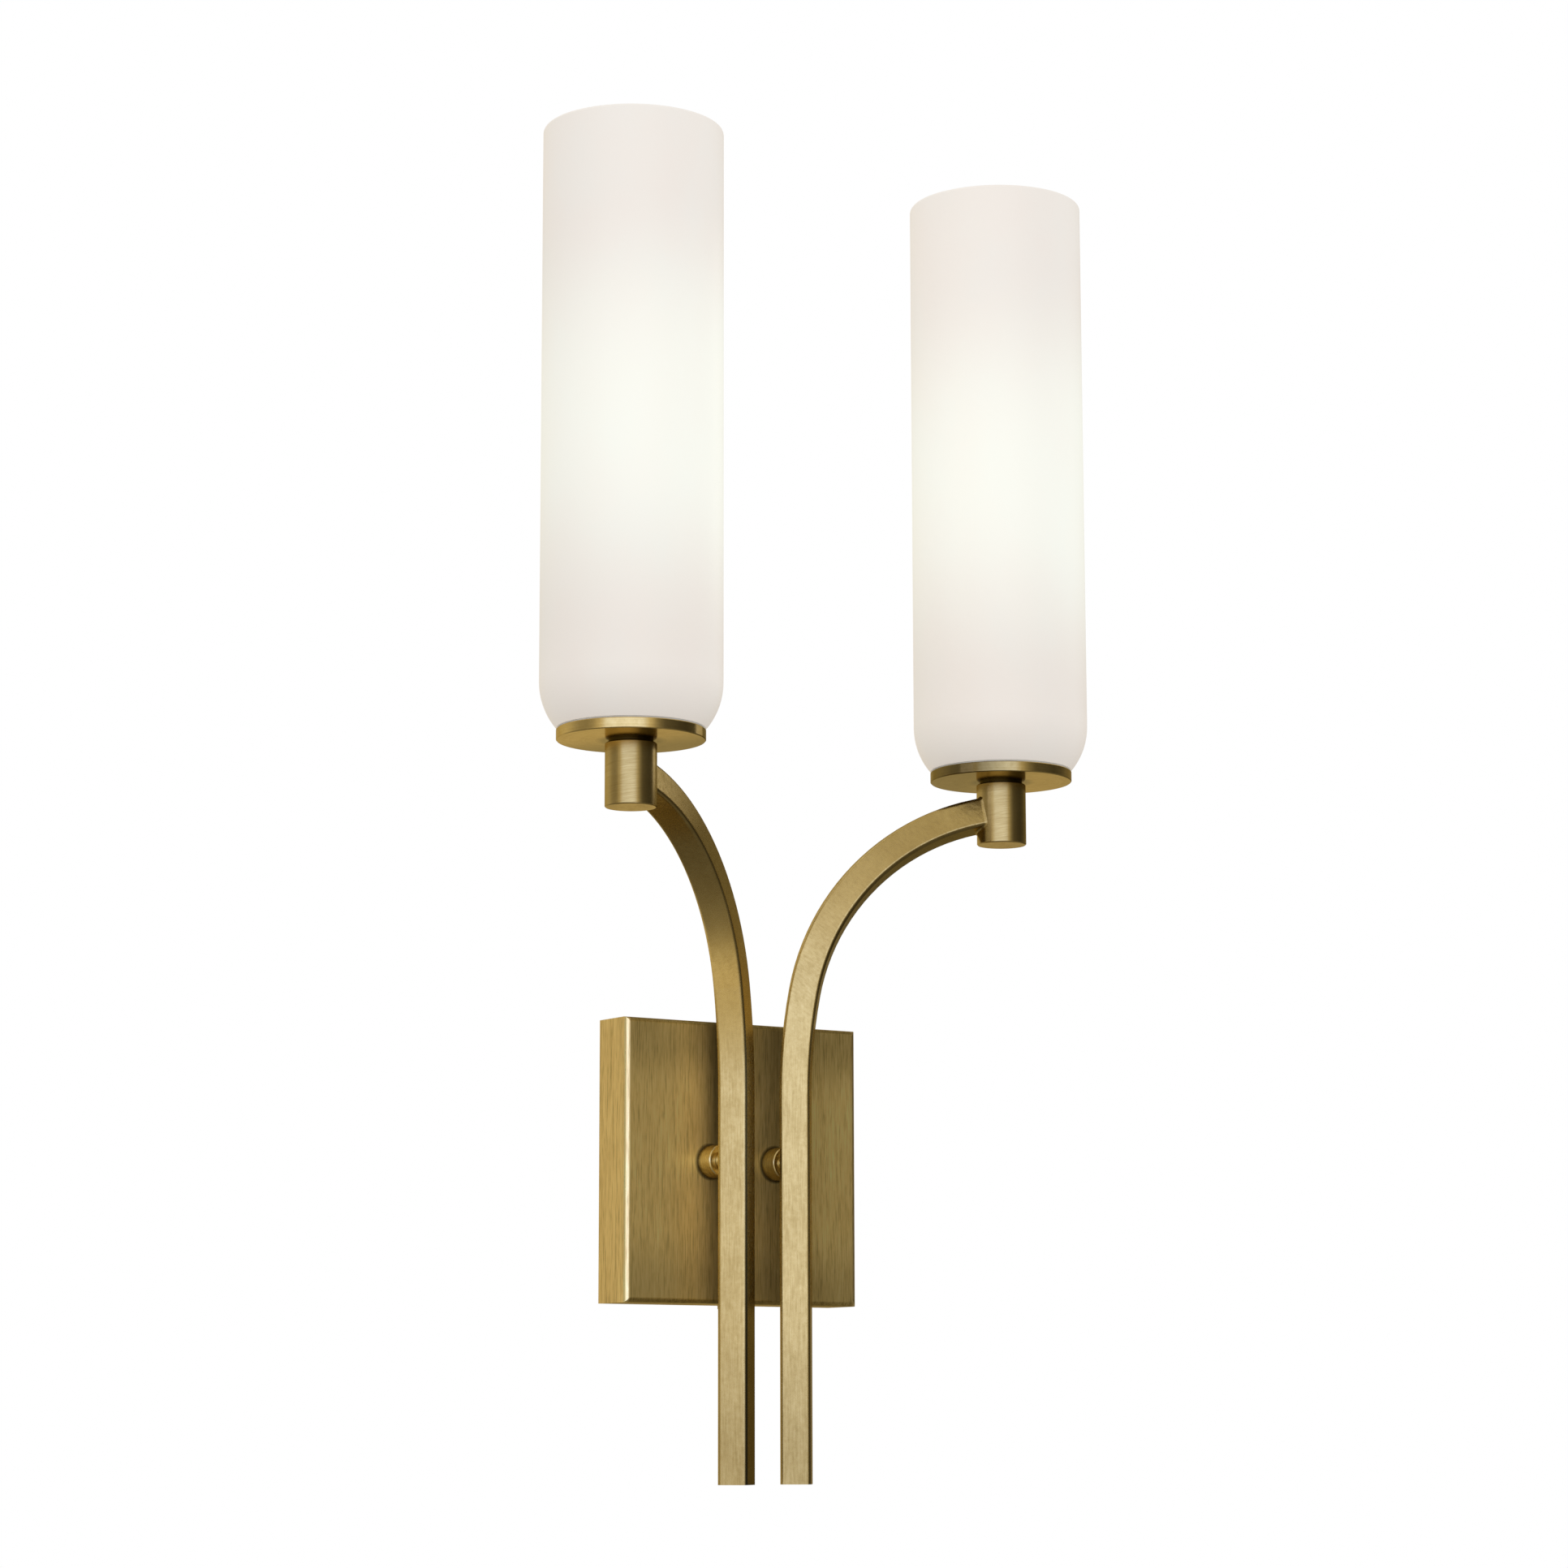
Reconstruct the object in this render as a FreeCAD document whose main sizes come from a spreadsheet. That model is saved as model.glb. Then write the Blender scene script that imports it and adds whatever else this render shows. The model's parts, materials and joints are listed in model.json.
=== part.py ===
import FreeCAD, Part
import math
import os
import re

import Sketcher

# Two-light wall sconce: a box canopy on a wall, two bent square-bar arms and two opal glass shades.
# Millimetres. Origin: wall plane, centre of the canopy. +X right, +Z up, the room lies towards -Y.

# ---------------------------------------------------------------- driving dimensions

DRIVING = {
    # canopy: box of folded sheet, open at the wall
    "canopy_width": 116.0, "canopy_height": 117.6, "canopy_depth": 21.3, "canopy_wall": 1.2,
    "canopy_edge": 2.2,
    # mounting plate: strap with two ears, screwed to the wall box through two slots
    "plate_width": 50.0, "plate_gauge": 1.6, "ear_depth": 13.0, "ear_gap": 0.4, "plate_bend": 2.0,
    "slot_spacing": 79.4, "slot_width": 4.6, "slot_length": 14.2, "wire_hole": 22.0,
    "ground_offset": 17.0,
    # machine screws: canopy to plate ears, and the earth terminal
    "screw_size": 3.9, "screw_clearance": 0.1, "screw_head": 7.2, "screw_head_height": 1.6,
    "screw_length": 6.0, "screw_stand": 8.0, "screw_slot": 0.9, "screw_slot_depth": 0.8,
    # arms: square tube, straight and upright at the canopy, bent outwards and forwards to the lights
    "arm_spacing": 29.8, "arm_stand": 38.4, "arm_bar": 12.7, "arm_wall": 1.5, "arm_round": 1.6,
    "arm_drop": 132.7, "arm_rise": 28.2, "gentle_radius": 236.3, "gentle_angle": 10.6,
    "tight_radius": 95.4, "sweep_angle": 77.5, "arm_end_run": 11.6,
    "bend_turn": 28.0, "bar_turn": 38.7, "plug_length": 8.0, "plug_gap": 0.05,
    # posts and hollow nipples that carry the arms on the canopy
    "post_spacing": 32.0, "post_diameter": 13.8, "post_length": 9.0, "post_chamfer": 0.4,
    "post_bore_gap": 0.1, "seat_gap": 0.02, "arm_nipple": 8.0, "arm_nipple_bore": 6.0,
    "arm_nipple_entry": 3.5, "arm_nipple_tail": 1.5, "arm_hole_gap": 0.05,
    "stiffener_width": 58.0, "stiffener_height": 24.0, "stiffener_gauge": 2.0,
    "arm_washer": 16.0, "arm_washer_gauge": 1.0, "arm_nut": 13.0, "arm_nut_height": 4.5,
    # stem and disc under each light
    "stem_diameter": 21.0, "stem_length": 27.1, "stem_joint": 14.5, "stem_chamfer": 0.5,
    "stem_foot_chamfer": 0.4, "stem_neck": 18.0, "stem_neck_height": 1.0,
    "stem_bore_depth": 18.0, "stem_passage": 6.4,
    "disc_diameter": 60.3, "disc_thickness": 4.4, "disc_chamfer": 0.35,
    # hollow nipple, washer and nut that clamp the disc on the stem
    "light_nipple": 9.8, "light_nipple_bore": 6.8, "light_nipple_grip": 10.0,
    "light_nipple_rise": 9.0, "thread_gap": 0.05, "disc_hole_gap": 0.2,
    "disc_washer": 17.0, "disc_washer_gauge": 1.0, "disc_nut": 15.0, "disc_nut_height": 3.2,
    # opal glass shade, open at the top
    "glass_diameter": 74.2, "glass_height": 249.2, "glass_wall": 3.0, "glass_hole": 41.0,
    "shoulder_radius": 28.8, "shoulder_angle": 40.8, "glass_lip": 1.2,
    "gasket_gauge": 0.6, "gasket_width": 7.0, "gasket_inset": 0.5,
    # lampholder
    "socket_diameter": 39.0, "socket_neck": 36.4, "socket_height": 50.0, "socket_thread_top": 32.0,
    "socket_pitch": 2.5, "socket_thread_depth": 0.5, "socket_floor": 3.0,
    "chamber_diameter": 30.0, "chamber_height": 11.0, "partition": 3.0, "bushing_flange": 16.0,
    "bushing_flange_gauge": 1.0, "bushing_barrel": 12.8, "bushing_rise": 1.5,
    "shell_diameter": 29.2, "shell_gap": 0.3, "shell_gauge": 0.6, "shell_height": 29.0,
    "shell_wave": 0.4, "shell_waves": 8, "rivet_size": 4.2, "rivet_gap": 0.05, "rivet_head": 8.0,
    "rivet_head_gauge": 0.6, "contact_size": 10.0, "contact_gauge": 0.5, "contact_rise": 2.0,
    "contact_tip": 5.0, "terminal_size": 3.2, "terminal_head": 6.4, "terminal_head_height": 2.0,
    "terminal_depth": 2.4, "terminal_offset": 9.0,
    # threaded ring that clamps the shade
    "ring_gap": 0.1, "ring_rest": 0.3, "ring_flange": 54.0, "ring_flange_gauge": 2.0,
    "ring_collar": 45.0, "ring_height": 9.0, "ring_lug": 3.0, "ring_lugs": 6,
    # lamp with a 26 mm screw base
    "lamp_rest": 0.3, "tip_diameter": 9.4, "tip_flat": 6.3, "tip_height": 1.0, "insulator_diameter": 21.6,
    "insulator_height": 5.0, "base_diameter": 26.2, "base_groove": 0.7, "base_gauge": 0.4,
    "base_pitch": 3.6, "base_turns": 4, "skirt_height": 5.6, "neck_diameter": 24.4,
    "neck_seat": 2.0, "neck_height": 34.0, "globe_diameter": 60.0, "globe_height": 78.0,
    "globe_wall": 0.8, "flare_height": 1.2, "flare_gap": 0.1, "pillar_diameter": 8.0,
    "pillar_foot": 7.0, "pillar_tip": 4.0, "pillar_height": 58.0, "filament_diameter": 1.6,
    "filament_length": 34.0, "filament_circle": 14.0, "filament_plate": 1.2, "filaments": 4,
}

DERIVED = {
    "arm_reach": "gentle_radius * (1 - cos(gentle_angle)) + arm_end_run"
                 " + tight_radius * (cos(gentle_angle) - cos(sweep_angle))",
    "arm_top": "arm_rise + gentle_radius * sin(gentle_angle) + arm_end_run / tan(sweep_angle)"
               " + tight_radius * (sin(sweep_angle) - sin(gentle_angle))",
    "arm_corner": "arm_stand - arm_bar * sqrt(2) / 2",
    "light_x": "arm_spacing / 2 + arm_reach * cos(bend_turn)",
    "light_y": "arm_stand + arm_reach * sin(bend_turn)",
    "stem_foot": "arm_top - stem_joint",
    "stem_shoulder": "stem_length - stem_neck_height",
    "stem_top": "stem_foot + stem_length",
    "disc_top": "stem_top + disc_thickness",
    "glass_foot": "disc_top + gasket_gauge",
    "glass_foot_radius": "glass_diameter / 2 - shoulder_radius * (1 - cos(shoulder_angle))",
    "shoulder_height": "shoulder_radius * sin(shoulder_angle)",
    "shoulder_centre": "glass_diameter / 2 - shoulder_radius",
    "inner_shoulder": "shoulder_radius - glass_wall",
    "floor_radius": "shoulder_centre + sqrt(inner_shoulder ^ 2 - (shoulder_height - glass_wall) ^ 2)",
    "canopy_face": "canopy_depth - canopy_wall",
    "stiffener_back": "canopy_face - stiffener_gauge",
    "washer_back": "stiffener_back - arm_washer_gauge",
    "nut_back": "washer_back - arm_nut_height",
    "nipple_back": "nut_back - arm_nipple_tail",
    "plate_height": "canopy_height - 2 * canopy_wall - 2 * ear_gap",
    "nut_foot": "disc_top + disc_washer_gauge",
    "bushing_foot": "nut_foot + disc_nut_height",
    "socket_foot": "bushing_foot + bushing_flange_gauge",
    "partition_foot": "socket_floor + chamber_height",
    "partition_top": "partition_foot + partition",
    "shell_wave_height": "shell_height / shell_waves",
    "lamp_foot": "socket_foot + partition_top + contact_gauge + contact_rise + lamp_rest",
    "base_foot": "tip_height + insulator_height",
    "skirt_foot": "base_foot + base_turns * base_pitch",
    "base_top": "skirt_foot + skirt_height",
    "neck_foot": "base_top - neck_seat",
    "neck_radius": "neck_diameter / 2",
    "globe_radius": "globe_diameter / 2",
    "globe_drop": "globe_height - neck_height",
    "neck_sweep": "(neck_radius ^ 2 + globe_drop ^ 2 - globe_radius ^ 2)"
                  " / (2 * (globe_radius - neck_radius))",
    "blend_share": "globe_radius / (globe_radius + neck_sweep)",
    "inner_share": "(globe_radius - globe_wall) / (globe_radius + neck_sweep)",
}

SIDES = {"left": -1, "right": 1}
FLUSH = 1e-6

doc = FreeCAD.newDocument("double_arm_wall_sconce")
sheet = doc.addObject("Spreadsheet::Sheet", "dims")
for row, (word, size) in enumerate(DRIVING.items(), start=1):
    sheet.set(f"A{row}", word)
    sheet.set(f"B{row}", str(size))
    sheet.setAlias(f"B{row}", word)
doc.recompute()

subparts = []


# ---------------------------------------------------------------- helpers

def formula(text):
    """Spell a formula out in sheet cells, with each derived word opened up."""
    def spell(match):
        word = match.group()
        if word in DERIVED:
            return "(" + formula(DERIVED[word]) + ")"
        return "dims." + word if word in DRIVING else word
    return re.sub(r"[a-z_]+", spell, text)


def value(text):
    """The number that a formula stands for now."""
    return float(sheet.evalExpression(formula(text)))


def bind(thing, **formulas):
    """Tie properties of a document object to the sheet."""
    for name, text in formulas.items():
        thing.setExpression(name, formula(text))
    return thing


def place(thing, x="0", y="0", z="0", axis=(0, 0, 1), turn="0"):
    """Put a document object at a place, turned by an angle in degrees about an axis."""
    thing.Placement = FreeCAD.Placement(
        FreeCAD.Vector(value(x), value(y), value(z)),
        FreeCAD.Rotation(FreeCAD.Vector(*axis), value(turn)))
    for name, text in (("Base.x", x), ("Base.y", y), ("Base.z", z), ("Rotation.Angle", turn)):
        thing.setExpression("Placement." + name, formula(text))
    return thing


def keep(thing, label):
    """Name a finished sub-part, which is written to a file of that name."""
    thing.Label = label
    subparts.append(thing)
    return thing


def new_body(name):
    return doc.addObject("PartDesign::Body", name)


def new_sketch(body, role):
    """An empty sketch on one of the body's own origin planes."""
    sketch = body.newObject("Sketcher::SketchObject", body.Name + "_sketch")
    plane = next(item for item in body.Origin.OriginFeatures if item.Role == role)
    sketch.AttachmentSupport = (plane, [""])
    sketch.MapMode = "FlatFace"
    return sketch


def draw(sketch, points, closed=True):
    """Draw runs through points given as (across, up) formulas, each bound to the sheet.

    A point with a radius formula and a turn is reached by an arc: +1 turns left, -1 turns right.
    """
    base = sketch.GeometryCount
    places = [FreeCAD.Vector(value(point[0]), value(point[1]), 0) for point in points]
    runs = list(range(len(points))) if closed else list(range(1, len(points)))
    ends = []
    for number, index in enumerate(runs):
        start, end, point = places[index - 1], places[index], points[index]
        if len(point) == 2:
            sketch.addGeometry(Part.LineSegment(start, end), False)
            ends.append((1, 2))
            continue
        radius, turn = value(point[2]), point[3]
        chord = end - start
        left = FreeCAD.Vector(-chord.y, chord.x, 0).normalize()
        centre = (start + end) / 2 + left * turn * math.sqrt(radius ** 2 - chord.Length ** 2 / 4)
        first, last = (start, end) if turn > 0 else (end, start)
        angles = [math.atan2(spot.y - centre.y, spot.x - centre.x) for spot in (first, last)]
        circle = Part.Circle(centre, FreeCAD.Vector(0, 0, 1), radius)
        sketch.addGeometry(Part.ArcOfCircle(circle, *angles), False)
        ends.append((1, 2) if turn > 0 else (2, 1))
        dimension = sketch.addConstraint(Sketcher.Constraint("Radius", base + number, radius))
        sketch.setExpression(f"Constraints[{dimension}]", formula(point[2]))
    for number in range(0 if closed else 1, len(runs)):
        before = number - 1 if number else len(runs) - 1
        sketch.addConstraint(Sketcher.Constraint(
            "Coincident", base + before, ends[before][1], base + number, ends[number][0]))
    spots = [(base + number, ends[number][1], index) for number, index in enumerate(runs)]
    if not closed:
        spots.insert(0, (base, ends[0][0], 0))
    for geometry, end, index in spots:
        for kind, axis, text in zip(("DistanceX", "DistanceY"), (-2, -1), points[index]):
            if text == "0":
                sketch.addConstraint(Sketcher.Constraint("PointOnObject", geometry, end, axis))
                continue
            dimension = sketch.addConstraint(
                Sketcher.Constraint(kind, -1, 1, geometry, end, value(text)))
            sketch.setExpression(f"Constraints[{dimension}]", formula(text))
    return sketch


def lathe(name, points):
    """A body turned about +Z from an outline of (radius, height) formulas."""
    body = new_body(name)
    sketch = draw(new_sketch(body, "XZ_Plane"), points)
    turned = body.newObject("PartDesign::Revolution", name + "_turned")
    turned.Profile = sketch
    turned.ReferenceAxis = (sketch, ["V_Axis"])
    turned.Angle = 360
    return body


def rectangle(width, height):
    """Corners of a rectangle about the origin, for draw."""
    return [(f"-({width}) / 2", f"-({height}) / 2"), (f"({width}) / 2", f"-({height}) / 2"),
            (f"({width}) / 2", f"({height}) / 2"), (f"-({width}) / 2", f"({height}) / 2")]


def rounded_rectangle(width, height, radius):
    """Outline of a rectangle with round corners about the origin, for draw."""
    corners = []
    for x_sign, y_sign, upright_first in ((1, -1, False), (1, 1, True), (-1, 1, False), (-1, -1, True)):
        x, y = f"{x_sign} * ({width}) / 2", f"{y_sign} * ({height}) / 2"
        inner_x, inner_y = f"{x} - {x_sign} * {radius}", f"{y} - {y_sign} * {radius}"
        before, after = ((x, inner_y), (inner_x, y)) if upright_first else ((inner_x, y), (x, inner_y))
        corners += [before, (*after, radius, 1)]
    return corners


def pad(body, sketch, length, midplane=False):
    """Pull a sketch out along its normal."""
    solid = body.newObject("PartDesign::Pad", body.Name + "_pad")
    solid.Profile = sketch
    solid.SideType = "Symmetric" if midplane else "One side"
    return bind(solid, Length=length)


def soften(body, feature, kind, size, chosen):
    """Fillet or chamfer the edges of a feature whose centre passes a test."""
    doc.recompute()
    names = [f"Edge{number}" for number, edge in enumerate(feature.Shape.Edges, start=1)
             if chosen(edge.CenterOfMass)]
    softened = body.newObject("PartDesign::" + kind, body.Name + "_" + kind.lower())
    softened.Base = (feature, names)
    bind(softened, **{"Radius" if kind == "Fillet" else "Size": size})
    body.Tip = softened
    return softened


def rod(name, diameter, length):
    """A plain cylinder standing on its base."""
    return bind(doc.addObject("Part::Cylinder", name), Radius=f"({diameter}) / 2", Height=length)


def prism(name, sides, flats, height):
    """A regular prism by its width across flats, standing on its base."""
    solid = doc.addObject("Part::Prism", name)
    solid.Polygon = sides
    return bind(solid, Circumradius=f"({flats}) / 2 / cos(180 / {sides})", Height=height)


def block(name, width, depth, height):
    """A box standing on its base, centred on the Z axis."""
    body = new_body(name)
    pad(body, draw(new_sketch(body, "XY_Plane"), rectangle(width, depth)), height)
    return body


def cut(name, base, *tools):
    """Take tools away from a base."""
    gathered = doc.addObject("Part::Compound", name + "_tools")
    gathered.Links = list(tools)
    result = doc.addObject("Part::Cut", name)
    result.Base, result.Tool = base, gathered
    return result


def group(name, *solids):
    """Identical fasteners kept together as separate solids."""
    result = doc.addObject("Part::Compound", name)
    result.Links = list(solids)
    return result


def forward(thing, x, start, z="0"):
    """Lay a standing piece along -Y, its base at a distance from the wall."""
    return place(thing, x, f"-({start})", z, axis=(1, 0, 0), turn="90")


def at_light(thing, side, height, turn="0"):
    """Stand a piece on the axis of one light."""
    return place(thing, f"{SIDES[side]} * light_x", "-(light_y)", height, turn=turn)


# ---------------------------------------------------------------- canopy and what fixes it

def slotted_screw(name, length):
    """Pan head on a plain shank: the shank runs up from the origin, the head is below it."""
    turned = lathe(name + "_turned", [
        ("0", "-screw_head_height"), ("screw_head / 2", "-screw_head_height"),
        ("screw_head / 2", "0"), ("screw_size / 2", "0"), ("screw_size / 2", length), ("0", length)])
    slot = place(block(name + "_slot", "2 * screw_head", "screw_slot", "screw_head_height"),
                 z="screw_slot_depth - 2 * screw_head_height")
    return cut(name, turned, slot)


def make_canopy():
    body = new_body("canopy_shell")
    outer = pad(body, draw(new_sketch(body, "XZ_Plane"), rectangle("canopy_width", "canopy_height")),
                "canopy_depth")
    front = -value("canopy_depth")
    soften(body, outer, "Fillet", "canopy_edge", lambda spot: abs(spot.y - front) < FLUSH)
    hollow = block("canopy_hollow", "canopy_width - 2 * canopy_wall",
                   "canopy_height - 2 * canopy_wall", "canopy_face")
    forward(hollow, "0", "0")
    holes = [forward(rod(f"canopy_{side}_hole", "arm_nipple + 2 * post_bore_gap", "canopy_depth"),
                     f"{sign} * post_spacing / 2", "canopy_face - canopy_wall")
             for side, sign in SIDES.items()]
    screw_hole = place(rod("canopy_screw_hole", "screw_size + 4 * screw_clearance",
                           "canopy_height + 2 * canopy_wall"),
                       y="-screw_stand", z="-canopy_height / 2 - canopy_wall")
    keep(cut("canopy_cut", cut("canopy_box", body, hollow), *holes, screw_hole), "canopy")


def make_mounting_plate():
    """Strap at the wall with an ear above and below, slots for the wall box and a wire hole."""
    body = new_body("plate_strap")
    top, web = "plate_height / 2", "plate_height / 2 - plate_gauge"
    strap = pad(body, draw(new_sketch(body, "YZ_Plane"), [
        ("0", f"-({top})"), ("0", top), ("-ear_depth", top), ("-ear_depth", web),
        ("-plate_gauge", web), ("-plate_gauge", f"-({web})"), ("-ear_depth", f"-({web})"),
        ("-ear_depth", f"-({top})")]), "plate_width", midplane=True)
    edge = value(top)
    soften(body, strap, "Fillet", "plate_bend",
           lambda spot: abs(spot.y) < FLUSH and abs(abs(spot.z) - edge) < FLUSH)
    through = "4 * plate_gauge"
    tools = []
    for name, sign in (("upper", 1), ("lower", -1)):
        middle = f"{sign} * slot_spacing / 2"
        for end in (1, -1):
            tools.append(forward(rod(f"{name}_slot_end_{end + 1}", "slot_width", through), "0",
                                 "-plate_gauge", f"{middle} + {end} * (slot_length - slot_width) / 2"))
        tools.append(forward(block(f"{name}_slot_middle", "slot_width", "slot_length - slot_width",
                                   through), "0", "-plate_gauge", middle))
    tools.append(forward(rod("plate_wire_hole", "wire_hole", through), "0", "-plate_gauge"))
    tools.append(forward(rod("plate_ground_hole", "screw_size + screw_clearance", through),
                         "ground_offset", "-plate_gauge"))
    tools.append(place(rod("plate_ear_holes", "screw_size + screw_clearance", "2 * plate_height"),
                       y="-screw_stand", z="-plate_height"))
    slots = doc.addObject("Part::MultiFuse", "plate_openings")
    slots.Shapes = tools
    keep(cut("plate_cut", body, slots), "mounting_plate")


def make_screws():
    """Canopy screws enter the ears from above and below; the earth screw sits on the plate."""
    upper = place(slotted_screw("upper_screw", "screw_length"), y="-screw_stand",
                  z="canopy_height / 2", axis=(1, 0, 0), turn="180")
    lower = place(slotted_screw("lower_screw", "screw_length"), y="-screw_stand",
                  z="-canopy_height / 2")
    keep(group("screw_pair", upper, lower), "canopy_screws")
    ground = place(slotted_screw("earth_screw", "plate_gauge"), "ground_offset", "-plate_gauge",
                   axis=(1, 0, 0), turn="-90")
    keep(ground, "ground_screw")


def make_stiffener():
    """Flat bar behind the canopy's face that spreads the pull of both arms."""
    bar = forward(block("stiffener_bar", "stiffener_width", "stiffener_height", "stiffener_gauge"),
                  "0", "stiffener_back")
    holes = [forward(rod(f"stiffener_{side}_hole", "arm_nipple + 2 * post_bore_gap",
                         "3 * stiffener_gauge"), f"{sign} * post_spacing / 2",
                     "stiffener_back - stiffener_gauge") for side, sign in SIDES.items()]
    keep(cut("stiffener_cut", bar, *holes), "canopy_stiffener")


# ---------------------------------------------------------------- arms

def square_bar(name, side, flats, height):
    """Square prism on the axis of an arm, turned as the arm's bar is."""
    sign = SIDES[side]
    return place(prism(name, 4, flats, height), f"{sign} * arm_spacing / 2", "-arm_stand",
                 turn=f"45 - {sign} * bar_turn")


def make_post(side):
    """Round spacer between canopy and arm, notched so that the bar's back corner seats in it."""
    sign = SIDES[side]
    turned = lathe(f"{side}_post_turned", [
        ("arm_nipple / 2 + post_bore_gap", "0"), ("post_diameter / 2", "0"),
        ("post_diameter / 2", "post_length - post_chamfer"),
        ("post_diameter / 2 - post_chamfer", "post_length"),
        ("arm_nipple / 2 + post_bore_gap", "post_length")])
    forward(turned, f"{sign} * post_spacing / 2", "canopy_depth")
    seat = square_bar(f"{side}_post_seat", side, "arm_bar + 2 * seat_gap", "2 * post_diameter")
    bind(seat, **{"Placement.Base.z": "-post_diameter"})
    keep(cut(f"{side}_post_cut", turned, seat), f"{side}_post")


def make_arm(side):
    """Square tube swept up an upright, through a gentle bend and a tight one, to the stem."""
    sign = SIDES[side]
    body = new_body(f"{side}_arm_tube")
    gentle = ("gentle_radius * (1 - cos(gentle_angle))",
              "arm_drop + arm_rise + gentle_radius * sin(gentle_angle)", "gentle_radius", -1)
    tight = (f"{gentle[0]} + tight_radius * (cos(gentle_angle) - cos(sweep_angle))",
             f"{gentle[1]} + tight_radius * (sin(sweep_angle) - sin(gentle_angle))",
             "tight_radius", -1)
    path = draw(new_sketch(body, "XZ_Plane"), [
        ("0", "0"), ("0", "arm_drop + arm_rise"), gentle, tight,
        ("arm_reach", f"{tight[1]} + arm_end_run / tan(sweep_angle)")], closed=False)
    section = new_sketch(body, "XY_Plane")
    draw(section, rounded_rectangle("arm_bar", "arm_bar", "arm_round"))
    draw(section, rectangle("arm_bar - 2 * arm_wall", "arm_bar - 2 * arm_wall"))
    twist = f"{-sign} * (bar_turn - bend_turn)"
    section.AttachmentOffset = FreeCAD.Placement(
        FreeCAD.Vector(0, 0, 0), FreeCAD.Rotation(FreeCAD.Vector(0, 0, 1), value(twist)))
    section.setExpression("AttachmentOffset.Rotation.Angle", formula(twist))
    tube = body.newObject("PartDesign::AdditivePipe", f"{side}_arm_pipe")
    tube.Profile = section
    tube.Spine = path
    place(body, f"{sign} * arm_spacing / 2", "-arm_stand", "-arm_drop",
          turn="-bend_turn" if sign > 0 else "180 + bend_turn")
    cope = at_light(rod(f"{side}_arm_cope", "stem_diameter", "2 * stem_length"), side, "stem_foot")
    wire_hole = place(rod(f"{side}_arm_hole", "arm_nipple + 2 * arm_hole_gap", "arm_bar"),
                      f"{sign} * post_spacing / 2", "-arm_stand", axis=(1, 0, 0), turn="-90")
    keep(cut(f"{side}_arm_cut", body, cope, wire_hole), f"{side}_arm")
    plug = square_bar(f"{side}_plug", side, "arm_bar - 2 * arm_wall - 2 * plug_gap", "plug_length")
    bind(plug, **{"Placement.Base.z": "-arm_drop"})
    keep(plug, f"{side}_arm_plug")


def make_arm_fixings(side):
    """Hollow nipple from inside the canopy through the post into the tube, with washer and nut."""
    middle = f"{SIDES[side]} * post_spacing / 2"
    nipple = lathe(f"{side}_nipple", [
        ("arm_nipple_bore / 2", "0"), ("arm_nipple / 2", "0"),
        ("arm_nipple / 2", "arm_corner + arm_nipple_entry - (nipple_back)"),
        ("arm_nipple_bore / 2", "arm_corner + arm_nipple_entry - (nipple_back)")])
    keep(forward(nipple, middle, "nipple_back"), f"{side}_arm_nipple")
    bore = "arm_nipple + 2 * arm_hole_gap"
    washer = cut(f"{side}_washer_cut", rod(f"{side}_washer_disc", "arm_washer", "arm_washer_gauge"),
                 place(rod(f"{side}_washer_bore", bore, "3 * arm_washer_gauge"), z="-arm_washer_gauge"))
    keep(forward(washer, middle, "washer_back"), f"{side}_arm_washer")
    nut = cut(f"{side}_nut_cut", prism(f"{side}_nut_hexagon", 6, "arm_nut", "arm_nut_height"),
              place(rod(f"{side}_nut_bore", bore, "3 * arm_nut_height"), z="-arm_nut_height"))
    keep(forward(nut, middle, "nut_back"), f"{side}_arm_nut")


# ---------------------------------------------------------------- stem, disc and shade

def make_stem(side):
    """Turned stem with a short neck under the disc, bored from above, with a wire passage."""
    foot, radius = "stem_foot_chamfer", "stem_diameter / 2"
    bore = "light_nipple / 2 + thread_gap"
    turned = lathe(f"{side}_stem_turned", [
        ("0", "0"), (f"{radius} - {foot}", "0"), (radius, foot),
        (radius, "stem_shoulder - stem_chamfer"), (f"{radius} - stem_chamfer", "stem_shoulder"),
        ("stem_neck / 2", "stem_shoulder"), ("stem_neck / 2", "stem_length"),
        (bore, "stem_length"), (bore, "stem_length - stem_bore_depth"),
        ("0", "stem_length - stem_bore_depth")])
    passage = place(rod(f"{side}_stem_passage", "stem_passage", "stem_diameter"), z="stem_joint",
                    axis=(0, 1, 0), turn="-90")
    stem = cut(f"{side}_stem_cut", turned, passage)
    keep(at_light(stem, side, "stem_foot",
                  "-bend_turn" if SIDES[side] > 0 else "180 + bend_turn"), f"{side}_stem")


def make_disc(side):
    edge, chamfer = "disc_diameter / 2", "disc_chamfer"
    hole = "light_nipple / 2 + disc_hole_gap"
    disc = lathe(f"{side}_disc_turned", [
        (hole, "0"), (f"{edge} - {chamfer}", "0"), (edge, chamfer),
        (edge, f"disc_thickness - {chamfer}"), (f"{edge} - {chamfer}", "disc_thickness"),
        (hole, "disc_thickness")])
    keep(at_light(disc, side, "stem_top"), f"{side}_disc")


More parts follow.
